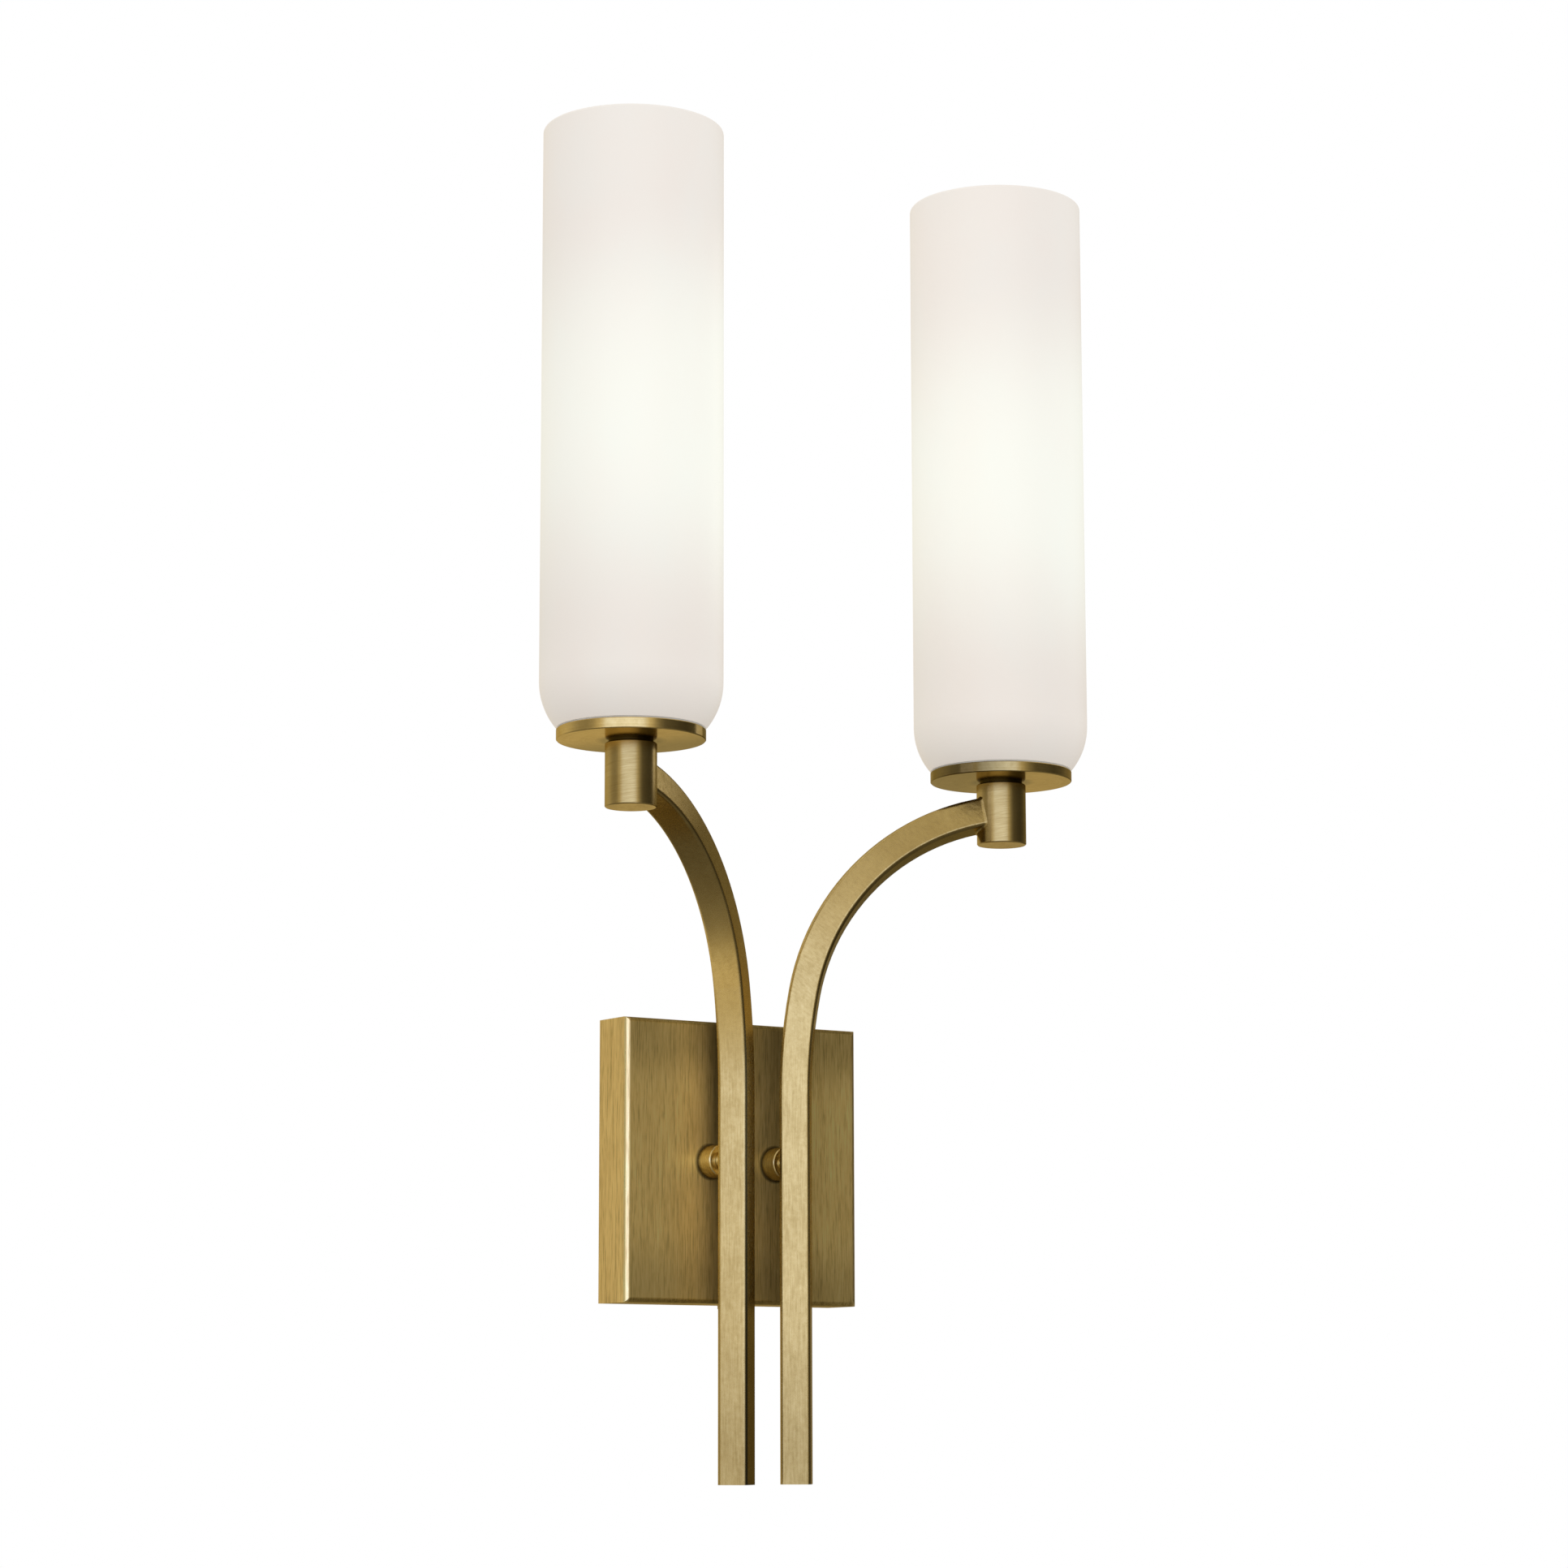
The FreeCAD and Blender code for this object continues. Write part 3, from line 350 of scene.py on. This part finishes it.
# painted shade on the canopy's face: behind the arms as (x, darkening), round the posts, and at top and
# bottom
BEHIND_ARMS = (
    (-0.028, 0.0), (-0.020, 0.22), (-0.014, 0.68), (-0.008, 0.66), (0.006, 0.33), (0.018, 0.33), (0.034, 0.0))
BEHIND_FADE = (-0.050, 0.015, 0.5, 1.0)
POST_SHADE_REACH, POST_SHADE = 0.0022, 0.85
END_SHADE_START, END_SHADE_FULL, END_SHADE, END_EDGE_SHADE = 0.034, 0.006, 0.28, 0.45

POST_TONE = (1.40, 1.52, 1.90)
POST_PLACE, POST_RADIUS = middle("right_post"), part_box("right_post")[1].z

ARM_PLACE = middle("left_arm_plug")
BEND_BAND = (0.030, 0.085)
DRESSED_REACH, DENT_DEPTH = (0.030, 0.018), 12.0
# painted light, lighter up the arms, and painted shade darkening the bends
ARM_LIGHT_RISE = (-0.125, -0.050, 0.94, 1.19)
BEND_PAINTED_SHADE = ((0.035, 0.080, 0.0, 0.04), (0.095, 0.140, 0.0, 0.18))
# painted shade and light on the underside of the bends, by how far the surface faces down
DOWN_BAND, BELOW_RIGHT_SHADE, BELOW_LEFT_LIGHT_AND_SHADE = (-0.02, -0.26), 0.58, (0.085, 0.125, 1.28, 0.74)
# painted shade and light, tinted blue, on the left arm's face towards the right arm, by depth under that face
# and by height
INNER_DEPTH, INNER_TOP = (0.0012, 0.0002), (0.062, 0.040)
INNER_SHADE_AND_LIGHT_TINT, INNER_SHADE_AND_LIGHT_RISE = (0.66, 0.80, 1.25), (-0.090, 0.030, 0.42, 1.6)

# painted shade in the stem's neck under the disc
NECK_BAND, NECK_SHADE = (-0.0003, 0.0001), 0.16
# discs: painted light makes them paler outwards, painted shade darker towards the arms and round the stem
DISC_LIGHT_AND_SHADE = (-0.018, 0.020, 1.30, 0.40)
STEM_SHADE_REACH, STEM_SHADE = 0.0045, 0.6


def brass_finish(name, pattern, depth, roughness, spread, contrast, dark=BRASS_DARK, **settings):
    """Satin brass: the grain tones the metal, roughens it and scratches it.

    The pattern gives the grain, a blotchy patina, the tone of the metal by place with its painted light and
    shade, where it is rubbed smooth, which on the canopy also carries a painted highlight, and the height of
    anything deeper than the grain, in depths of the grain. The last two may be None.
    """
    finish = Finish(name, Metallic=1.0, Specular_Tint=EDGE_TINT, **settings)
    grain, blotch, tone, wear_and_highlight, height = pattern(finish)
    reach = GRAIN_REACH / contrast
    colour = finish.ramp(grain, [(0.5 - reach, dark), (0.5, BRASS), (0.5 + reach, BRASS_LIGHT)])
    colour = finish.mix(1.0, colour, finish.ramp(blotch, PATINA), "MULTIPLY")
    finish.feed("Base Color", finish.vector("MULTIPLY", colour, tone))
    rough = finish.fade(grain, 0.25, 0.75, roughness + spread, roughness - spread)
    if wear_and_highlight is not None:
        rubbed = finish.math("MULTIPLY", wear_and_highlight, roughness - WORN_ROUGHNESS)
        rough = finish.math("SUBTRACT", rough, rubbed)
    finish.feed("Roughness", rough)
    finish.bump(grain if height is None else finish.math("ADD", grain, height), depth)
    return finish.material


def brushed_upright(finish):
    """Canopy: fine upright strokes with faint wider bands, rubbed edges with a painted highlight, painted
    light on the sides and painted shade behind the arms, round the posts and at top and bottom.
    """
    strokes = finish.noise(finish.place, (2300.0, 2300.0, 75.0), detail=2.0, distortion=0.4)
    bands = finish.noise(finish.place, (620.0, 620.0, 26.0), detail=3.0, distortion=0.3)
    nicks = finish.noise(finish.place, (1100.0, 1100.0, 200.0), detail=2.0)
    grain = finish.math("MULTIPLY_ADD", strokes, 0.52, finish.math("MULTIPLY", bands, 0.28))
    grain = finish.math("MULTIPLY_ADD", nicks, 0.20, grain)
    near_side, near_face, near_end = (
        finish.fade(
            finish.math("ABSOLUTE", along), edge - CANOPY_EDGE - RUB_START, edge - CANOPY_EDGE + RUB_END)
        for along, edge in ((finish.x, CANOPY_SIDE), (finish.y, CANOPY_FACE), (finish.z, CANOPY_TOP)))
    # front edges rubbed smooth, and also lifted and paled as a painted highlight
    wear_and_highlight = finish.math("MULTIPLY", near_side, near_face)
    # the side faces, made lighter by painted light
    side = finish.math("GREATER_THAN", finish.math("ABSOLUTE", finish.x), CANOPY_SIDE - CANOPY_EDGE / 4)
    face = finish.math("SUBTRACT", near_face, wear_and_highlight)
    share = finish.math("MULTIPLY_ADD", finish.x, 0.5 / CANOPY_SIDE, 0.5)
    # painted shade behind the arms, round the posts and at top and bottom, taken with the face's own tone
    stops = [(0.5 + x / (2 * CANOPY_SIDE), darkening) for x, darkening in BEHIND_ARMS]
    behind = finish.split(finish.ramp(share, stops))[0]
    behind = finish.math("MULTIPLY", behind, finish.fade(finish.z, *BEHIND_FADE))
    post = finish.vector("DISTANCE", finish.mirrored(), (POST_PLACE.x, -CANOPY_FACE, 0.0))
    round_post = finish.fade(post, POST_RADIUS + POST_SHADE_REACH, POST_RADIUS, 0.0, POST_SHADE)
    behind = finish.math("MAXIMUM", behind, round_post)
    ends = finish.fade(
        finish.math("ABSOLUTE", finish.z),
        CANOPY_TOP - END_SHADE_START, CANOPY_TOP - END_SHADE_FULL, 0.0, END_SHADE)
    ends = finish.math("MAXIMUM", ends, finish.math("MULTIPLY", near_end, END_EDGE_SHADE))
    dim = finish.math("MULTIPLY", finish.math("SUBTRACT", 1.0, behind), finish.math("SUBTRACT", 1.0, ends))
    base = finish.math("MULTIPLY_ADD", wear_and_highlight, EDGE_HIGHLIGHT_LIFT, CANOPY_TONE)
    base = finish.math("MULTIPLY_ADD", side, SIDE_PAINTED_LIGHT, base)
    facing = finish.mix(wear_and_highlight, (1.0, 1.0, 1.0), EDGE_HIGHLIGHT_PALE)
    facing = finish.mix(face, facing, finish.vector("MULTIPLY", finish.grey(dim), FACE_TONE))
    tone = finish.vector("MULTIPLY", facing, finish.grey(base))
    return grain, finish.noise(finish.place, (55.0, 55.0, 22.0), detail=4.0), tone, wear_and_highlight, None


def rubbed_bar(finish):
    """Arm rubbed by hand: fine grain along it where it is straight, across it in the bend.

    It is dented where the joint was dressed. Painted light makes it lighter up the arm and painted shade
    darkens the bends; the bends' undersides and the left arm's inner face get painted light and shade, the
    latter tinted blue.
    """
    folded = finish.mirrored()
    along = finish.noise(folded, (1500.0, 1500.0, 120.0), detail=3.0)
    across = finish.noise(folded, (160.0, 700.0, 1300.0), detail=4.0, turn=(0.0, -45.0, 0.0))
    speckle = finish.noise(folded, (520.0, 520.0, 520.0), detail=5.0, roughness=0.65)
    bent = finish.fade(finish.z, *BEND_BAND)
    grain = finish.split(finish.mix(bent, finish.grey(along), finish.grey(across)))[0]
    grain = finish.math("MULTIPLY_ADD", speckle, 0.45, finish.math("MULTIPLY", grain, 0.55))
    from_joint = finish.vector("DISTANCE", finish.from_light(), (0.0, 0.0, JOINT_HEIGHT))
    dressed = finish.fade(from_joint, *DRESSED_REACH)
    dents = finish.noise(folded, (330.0, 330.0, 330.0), detail=2.0)
    height = finish.math("MULTIPLY", finish.math("MULTIPLY", dents, dressed), DENT_DEPTH)
    # painted light up the arm and painted shade in the bends
    light = finish.fade(finish.z, *ARM_LIGHT_RISE)
    for dimming in BEND_PAINTED_SHADE:
        light = finish.math("SUBTRACT", light, finish.fade(finish.z, *dimming))
    # painted shade and light on the bends' undersides
    tilt = finish.split(finish.add("ShaderNodeTexCoord").outputs["Normal"])[2]
    bent_down = finish.math("MULTIPLY", finish.fade(tilt, *DOWN_BAND), bent)
    right = finish.math("GREATER_THAN", finish.x, 0.0)
    below = finish.mix(right, finish.grey(finish.fade(finish.z, *BELOW_LEFT_LIGHT_AND_SHADE)), (BELOW_RIGHT_SHADE,) * 3)
    below = finish.split(finish.mix(bent_down, (1.0, 1.0, 1.0), below))[0]
    light = finish.math("MULTIPLY", light, below)
    # painted shade and light, tinted blue, on the left arm's face towards the right arm
    from_bar = finish.vector("SUBTRACT", finish.place, ARM_PLACE * LEVEL)
    from_middle = finish.vector("DOT_PRODUCT", from_bar, look(BAR_TURN))
    inner = finish.fade(from_middle, *(BAR_SIDE / 2 - depth for depth in INNER_DEPTH))
    left = finish.math("LESS_THAN", finish.x, 0.0)
    low_left = finish.math("MULTIPLY", left, finish.fade(finish.z, *INNER_TOP))
    inner_left = finish.math("MULTIPLY", inner, low_left)
    inner_shade_and_light = finish.vector("MULTIPLY", finish.grey(finish.fade(finish.z, *INNER_SHADE_AND_LIGHT_RISE)), INNER_SHADE_AND_LIGHT_TINT)
    tone = finish.mix(inner_left, finish.grey(light), inner_shade_and_light)
    return grain, finish.noise(folded, (110.0, 110.0, 60.0), detail=5.0, roughness=0.6), tone, None, height


def turned_upright(finish):
    """Stem: fine turned rings, slanting a little, and painted shade in the neck."""
    rings = finish.noise(finish.place, (60.0, 60.0, 3200.0), detail=2.0, turn=(2.0, 3.0, 0.0))
    scratches = finish.noise(finish.place, (150.0, 150.0, 2200.0), detail=3.0, turn=(6.0, 8.0, 0.0))
    grain = finish.math("MULTIPLY_ADD", rings, 0.5, finish.math("MULTIPLY", scratches, 0.5))
    shoulder = STEM_TOP - NECK_HEIGHT
    light = finish.fade(finish.z, *(shoulder + height for height in NECK_BAND), 1.0, NECK_SHADE)
    tone = finish.grey(light)
    return grain, finish.noise(finish.place, (150.0, 150.0, 90.0), detail=4.0), tone, None, None


def turned_flat(finish):
    """Disc: turned rings on its faces and rim, rubbed cloudiness, painted shade towards the arm and stem, and
    painted light outwards.
    """
    radius = finish.radius()
    rings = finish.noise(finish.join(radius, 0.0, finish.z), (1900.0, 1.0, 1900.0), detail=2.0)
    clouds = finish.noise(finish.place, (420.0, 420.0, 420.0), detail=5.0, roughness=0.6)
    grain = finish.math("MULTIPLY_ADD", rings, 0.45, finish.math("MULTIPLY", clouds, 0.55))
    # painted light and shade across the disc, and painted shade round the stem
    inward = finish.vector("DOT_PRODUCT", finish.vector("SUBTRACT", finish.mirrored(), LIGHT), INWARD)
    light = finish.fade(inward, *DISC_LIGHT_AND_SHADE)
    under = finish.fade(radius, STEM_RADIUS + STEM_SHADE_REACH, STEM_RADIUS, 0.0, STEM_SHADE)
    tone = finish.grey(finish.math("MULTIPLY", light, finish.math("SUBTRACT", 1.0, under)))
    return grain, finish.noise(finish.place, (90.0, 90.0, 90.0), detail=4.0), tone, None, None


def turned_post(finish):
    """Post: rings of a piece turned about an axis that points at the room."""
    rings = finish.noise(finish.place, (120.0, 2200.0, 120.0), detail=2.0)
    return rings, finish.noise(finish.place, (300.0, 300.0, 300.0), detail=4.0), POST_TONE, None, None


# ---------------------------------------------------------------- opal glass

GLASS_BLUSH = (
    (0.32, (0.800, 0.752, 0.722)), (0.52, (0.800, 0.765, 0.735)), (0.70, (0.788, 0.772, 0.748)))
INSIDE_WHITE, INSIDE_GLOW = (0.62, 0.60, 0.57), (0.24, 0.225, 0.195)
WALL_BAND, FOOT_BAND = (0.0010, 0.0022), (0.028, 0.045)
GLOW_HEIGHT, GLOW_BLEND = 0.289, 0.05
# the brightest place stands 14 mm to the right of the axis in the photograph
GLOW_SHIFT = look(90 - CAMERA_YAW) * 0.014
GLOW_NEAR, GLOW_FAR = 0.030, 0.100
FROST_DEPTH, FROST_STRENGTH = 0.00002, 0.5
GLOW_LOW, GLOW_HIGH, GLOW_CORE = (0.325, 0.293, 0.255), (0.34, 0.312, 0.278), (0.44, 0.465, 0.41)


def opal_glass():
    """Etched opal glass lit from inside: brightest round the lamp, paler above it than below.

    The inside wall, above the rounded foot, is greyer and glows less.
    """
    finish = Finish("opal_glass", Roughness=0.42, Specular_IOR_Level=0.35, Emission_Strength=1.0)
    clouds = finish.noise(finish.place, (38.0, 38.0, 22.0), detail=4.0, roughness=0.55)
    blush = finish.ramp(clouds, GLASS_BLUSH)
    in_wall = finish.fade(finish.radius(), *(SHADE_RADIUS - depth for depth in WALL_BAND))
    above_foot = finish.fade(finish.z, *(SHADE_FOOT + height for height in FOOT_BAND))
    inside = finish.math("MULTIPLY", in_wall, above_foot)
    finish.feed("Base Color", finish.mix(inside, blush, INSIDE_WHITE))
    lamp = (GLOW_SHIFT.x, GLOW_SHIFT.y, GLOW_HEIGHT)
    reach = finish.vector("DISTANCE", finish.from_light(), lamp)
    upper = finish.fade(finish.z, GLOW_HEIGHT - GLOW_BLEND, GLOW_HEIGHT + GLOW_BLEND)
    ends = finish.mix(upper, GLOW_LOW, GLOW_HIGH)
    core = finish.fade(reach, GLOW_FAR, GLOW_NEAR)
    glow = finish.mix(core, ends, GLOW_CORE)
    finish.feed("Emission Color", finish.mix(inside, glow, INSIDE_GLOW))
    finish.feed("Roughness", finish.fade(clouds, 0.3, 0.7, 0.38, 0.46))
    frost = finish.noise(finish.place, (2600.0, 2600.0, 2600.0), detail=2.0)
    finish.bump(frost, FROST_DEPTH, FROST_STRENGTH)
    return finish.material


# ---------------------------------------------------------------- hidden and small parts

METAL_HOLLOWS, MOULDED_CLOUDS = 0.78, 0.88
METAL_DEPTH, MOULDED_DEPTH = 0.00001, 0.000008


def plain_metal(name, colour, roughness, grain=(900.0, 900.0, 900.0)):
    """Small metal part: a light grain, darker in its hollows."""
    finish = Finish(name, Metallic=1.0)
    speckle = finish.noise(finish.place, grain, detail=4.0)
    shade = tuple(METAL_HOLLOWS * part for part in colour)
    finish.feed("Base Color", finish.ramp(speckle, [(0.3, shade), (0.65, colour)]))
    finish.feed("Roughness", finish.fade(speckle, 0.25, 0.75, roughness + 0.08, roughness - 0.05))
    finish.bump(speckle, METAL_DEPTH)
    return finish.material


def plain_moulding(name, colour, roughness, emission=None):
    """Moulded, glazed or blown part with faint clouding and a fine skin; emission is its own glow."""
    finish = Finish(name)
    clouds = finish.noise(finish.place, (160.0, 160.0, 160.0), detail=4.0)
    shade = tuple(MOULDED_CLOUDS * part for part in colour)
    finish.feed("Base Color", finish.ramp(clouds, [(0.3, shade), (0.65, colour)]))
    finish.feed("Roughness", finish.fade(clouds, 0.25, 0.75, roughness + 0.06, roughness - 0.04))
    skin = finish.noise(finish.place, (1800.0, 1800.0, 1800.0), detail=2.0)
    finish.bump(skin, MOULDED_DEPTH)
    if emission:
        finish.shader.inputs["Emission Color"].default_value = (*emission, 1.0)
        finish.shader.inputs["Emission Strength"].default_value = 1.0
    return finish.material


# ---------------------------------------------------------------- brazed joints

BRAZE_WIDTH, BRAZE_SINK = 0.0012, 0.00006
BRAZE_WAVE, BRAZE_RIPPLE = 0.14, 0.08
BRAZE_STEPS, CORNER_STEPS, SIDE_STEPS = 6, 8, 8


def bar_outline():
    """Points round the bar's section, each with its outward direction, from the middle of the bar."""
    flat, outline = BAR_SIDE / 2 - BAR_ROUND, []
    for corner in range(4):
        start = math.radians(90 * corner)
        centre = Matrix.Rotation(start, 2) @ Vector((flat, flat))
        for step in range(CORNER_STEPS + 1):
            turn = start + math.radians(90) * step / CORNER_STEPS
            outward = Vector((math.cos(turn), math.sin(turn)))
            outline.append((centre + outward * BAR_ROUND, outward))
        side = Matrix.Rotation(start + math.radians(90), 2) @ Vector((0.0, -2 * flat))
        last, outward = outline[-1]
        outline += [(last - side * step / SIDE_STEPS, outward) for step in range(1, SIDE_STEPS)]
    return outline


def make_braze(name, sign, material):
    """Hollow fillet of filler metal where the bar meets the stem, a little uneven in width.

    Each ring runs from the bar to the stem in a curve and back inside both; sign is the side of the light.
    """
    bend, sweep, twist = (math.radians(angle) for angle in (BEND_TURN, SWEEP_ANGLE, BEND_TURN - BAR_TURN))
    out, up = Vector((math.cos(bend), -math.sin(bend), 0.0)), Vector((0.0, 0.0, 1.0))
    along, down = out * math.sin(sweep) + up * math.cos(sweep), out * math.cos(sweep) - up * math.sin(sweep)
    across = Vector((math.sin(bend), math.cos(bend), 0.0))
    end = Vector((LIGHT.x, LIGHT.y, JOINT_HEIGHT))
    shape = bmesh.new()
    rings = []
    for point, outward in bar_outline():
        point, outward = (Matrix.Rotation(twist, 2) @ pair for pair in (point, outward))
        offset, normal = (down * pair.x + across * pair.y for pair in (point, outward))
        run, aside = along * LEVEL, offset * LEVEL
        reach = run.dot(aside)
        spread = reach ** 2 - run.length_squared * (aside.length_squared - STEM_RADIUS ** 2)
        back = (reach + math.sqrt(spread)) / run.length_squared
        meet = offset - along * back
        radial = (meet * LEVEL).normalized()
        climb = (normal - radial * normal.dot(radial)).normalized()
        turn = math.atan2(outward.y, outward.x)
        width = BRAZE_WIDTH * (1 + BRAZE_WAVE * math.sin(3 * turn + 1) + BRAZE_RIPPLE * math.sin(8 * turn))
        on_bar = meet - along * width - normal * BRAZE_SINK
        on_stem = meet + climb * width
        on_stem = (on_stem * LEVEL).normalized() * (STEM_RADIUS - BRAZE_SINK) + up * on_stem.z
        shares = [step / BRAZE_STEPS for step in range(BRAZE_STEPS + 1)]
        section = [on_bar.lerp(meet, share).lerp(meet.lerp(on_stem, share), share) for share in shares]
        section.append(meet - (normal + radial) * BRAZE_WIDTH / 4)
        places = [end + spot for spot in section]
        rings.append([shape.verts.new((sign * place.x, place.y, place.z)) for place in places])
    for ring, following in zip(rings, rings[1:] + rings[:1]):
        for index in range(len(ring)):
            shape.faces.new((ring[index - 1], ring[index], following[index], following[index - 1]))
    bmesh.ops.recalc_face_normals(shape, faces=shape.faces)
    mesh = bpy.data.meshes.new(name)
    shape.to_mesh(mesh)
    shape.free()
    mesh.polygons.foreach_set("use_smooth", [True] * len(mesh.polygons))
    mesh.materials.append(material)
    piece = bpy.data.objects.new(name, mesh)
    bpy.context.scene.collection.objects.link(piece)
    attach(piece, "wall_frame")


# ---------------------------------------------------------------- putting it together

def finishes():
    """Material of each slot in the record, or of a single node where it has its own."""
    post = brass_finish("post_brass", turned_post, depth=0.000006, roughness=0.25, spread=0.05, contrast=0.9)
    return {
        "canopy_brass": brass_finish(
            "canopy_brass", brushed_upright, depth=0.000014, roughness=0.54, spread=0.06, contrast=1.7,
            dark=CANOPY_DARK, Anisotropic=0.65),
        "arm_brass": brass_finish(
            "arm_brass", rubbed_bar, depth=0.000008, roughness=0.27, spread=0.05, contrast=0.8),
        "stem": brass_finish(
            "stem_brass", turned_upright, depth=0.000004, roughness=0.24, spread=0.03, contrast=0.8),
        "disc": brass_finish(
            "disc_brass", turned_flat, depth=0.000003, roughness=0.18, spread=0.03, contrast=0.8),
        "post": post,
        "nipple": post,
        "screw_brass": plain_metal("screw_brass", (0.52, 0.40, 0.18), 0.30),
        "plate_steel": plain_metal("plate_steel", (0.62, 0.62, 0.60), 0.38, (120.0, 900.0, 900.0)),
        "green_screw": plain_metal("green_screw", (0.03, 0.22, 0.07), 0.35),
        "steel_hardware": plain_metal("steel_hardware", (0.60, 0.60, 0.58), 0.32),
        "ring_metal": plain_metal("ring_metal", (0.75, 0.75, 0.74), 0.30, (90.0, 90.0, 2200.0)),
        "socket_brass": plain_metal("socket_brass", (0.72, 0.55, 0.24), 0.28, (90.0, 90.0, 2000.0)),
        "lamp_base_metal": plain_metal("lamp_base_metal", (0.78, 0.77, 0.74), 0.25, (90.0, 90.0, 1500.0)),
        "lamp_contact_tin": plain_metal("lamp_contact_tin", (0.66, 0.66, 0.64), 0.40),
        "lamp_filament": plain_moulding("lamp_filament", (0.95, 0.72, 0.32), 0.5, (1.0, 0.72, 0.34)),
        "socket_porcelain": plain_moulding("socket_porcelain", (0.82, 0.80, 0.75), 0.18),
        "gasket_rubber": plain_moulding("gasket_rubber", (0.70, 0.70, 0.68), 0.7),
        "lamp_insulator": plain_moulding("lamp_insulator", (0.03, 0.03, 0.035), 0.15),
        "lamp_glass": plain_moulding("lamp_glass", (0.80, 0.78, 0.73), 0.35, (0.46, 0.43, 0.37)),
        "opal_glass": opal_glass(),
    }


def dress_nodes(made):
    """Give each CAD node the finish of its slot; turned brass has one for each kind of turned piece."""
    for row in frame["record"]["subparts"]:
        name, slot = row["node"], row["material_slot"]
        own = name.split("_")[-1]
        material = made[own if slot == "turned_brass" else slot]
        node = nodes[name]
        for index in range(len(node.material_slots)):
            node.material_slots[index].material = material


bpy.context.scene.view_settings.view_transform = "Standard"
make_camera()
make_world()
make_floor()
make_softbox(
    "key_softbox", azimuth=-24, elevation=20, distance=1.7, width=2.3, height=1.6, radiance=0.38,
    colour=(0.99, 1.0, 1.03))
make_softbox(
    "fill_softbox", azimuth=85, elevation=10, distance=1.8, width=0.9, height=1.2, radiance=1.18,
    colour=(1.0, 0.98, 0.94))
made = finishes()
dress_nodes(made)
for side, sign in SIDES.items():
    make_braze(side + "_braze", sign, made["arm_brass"])
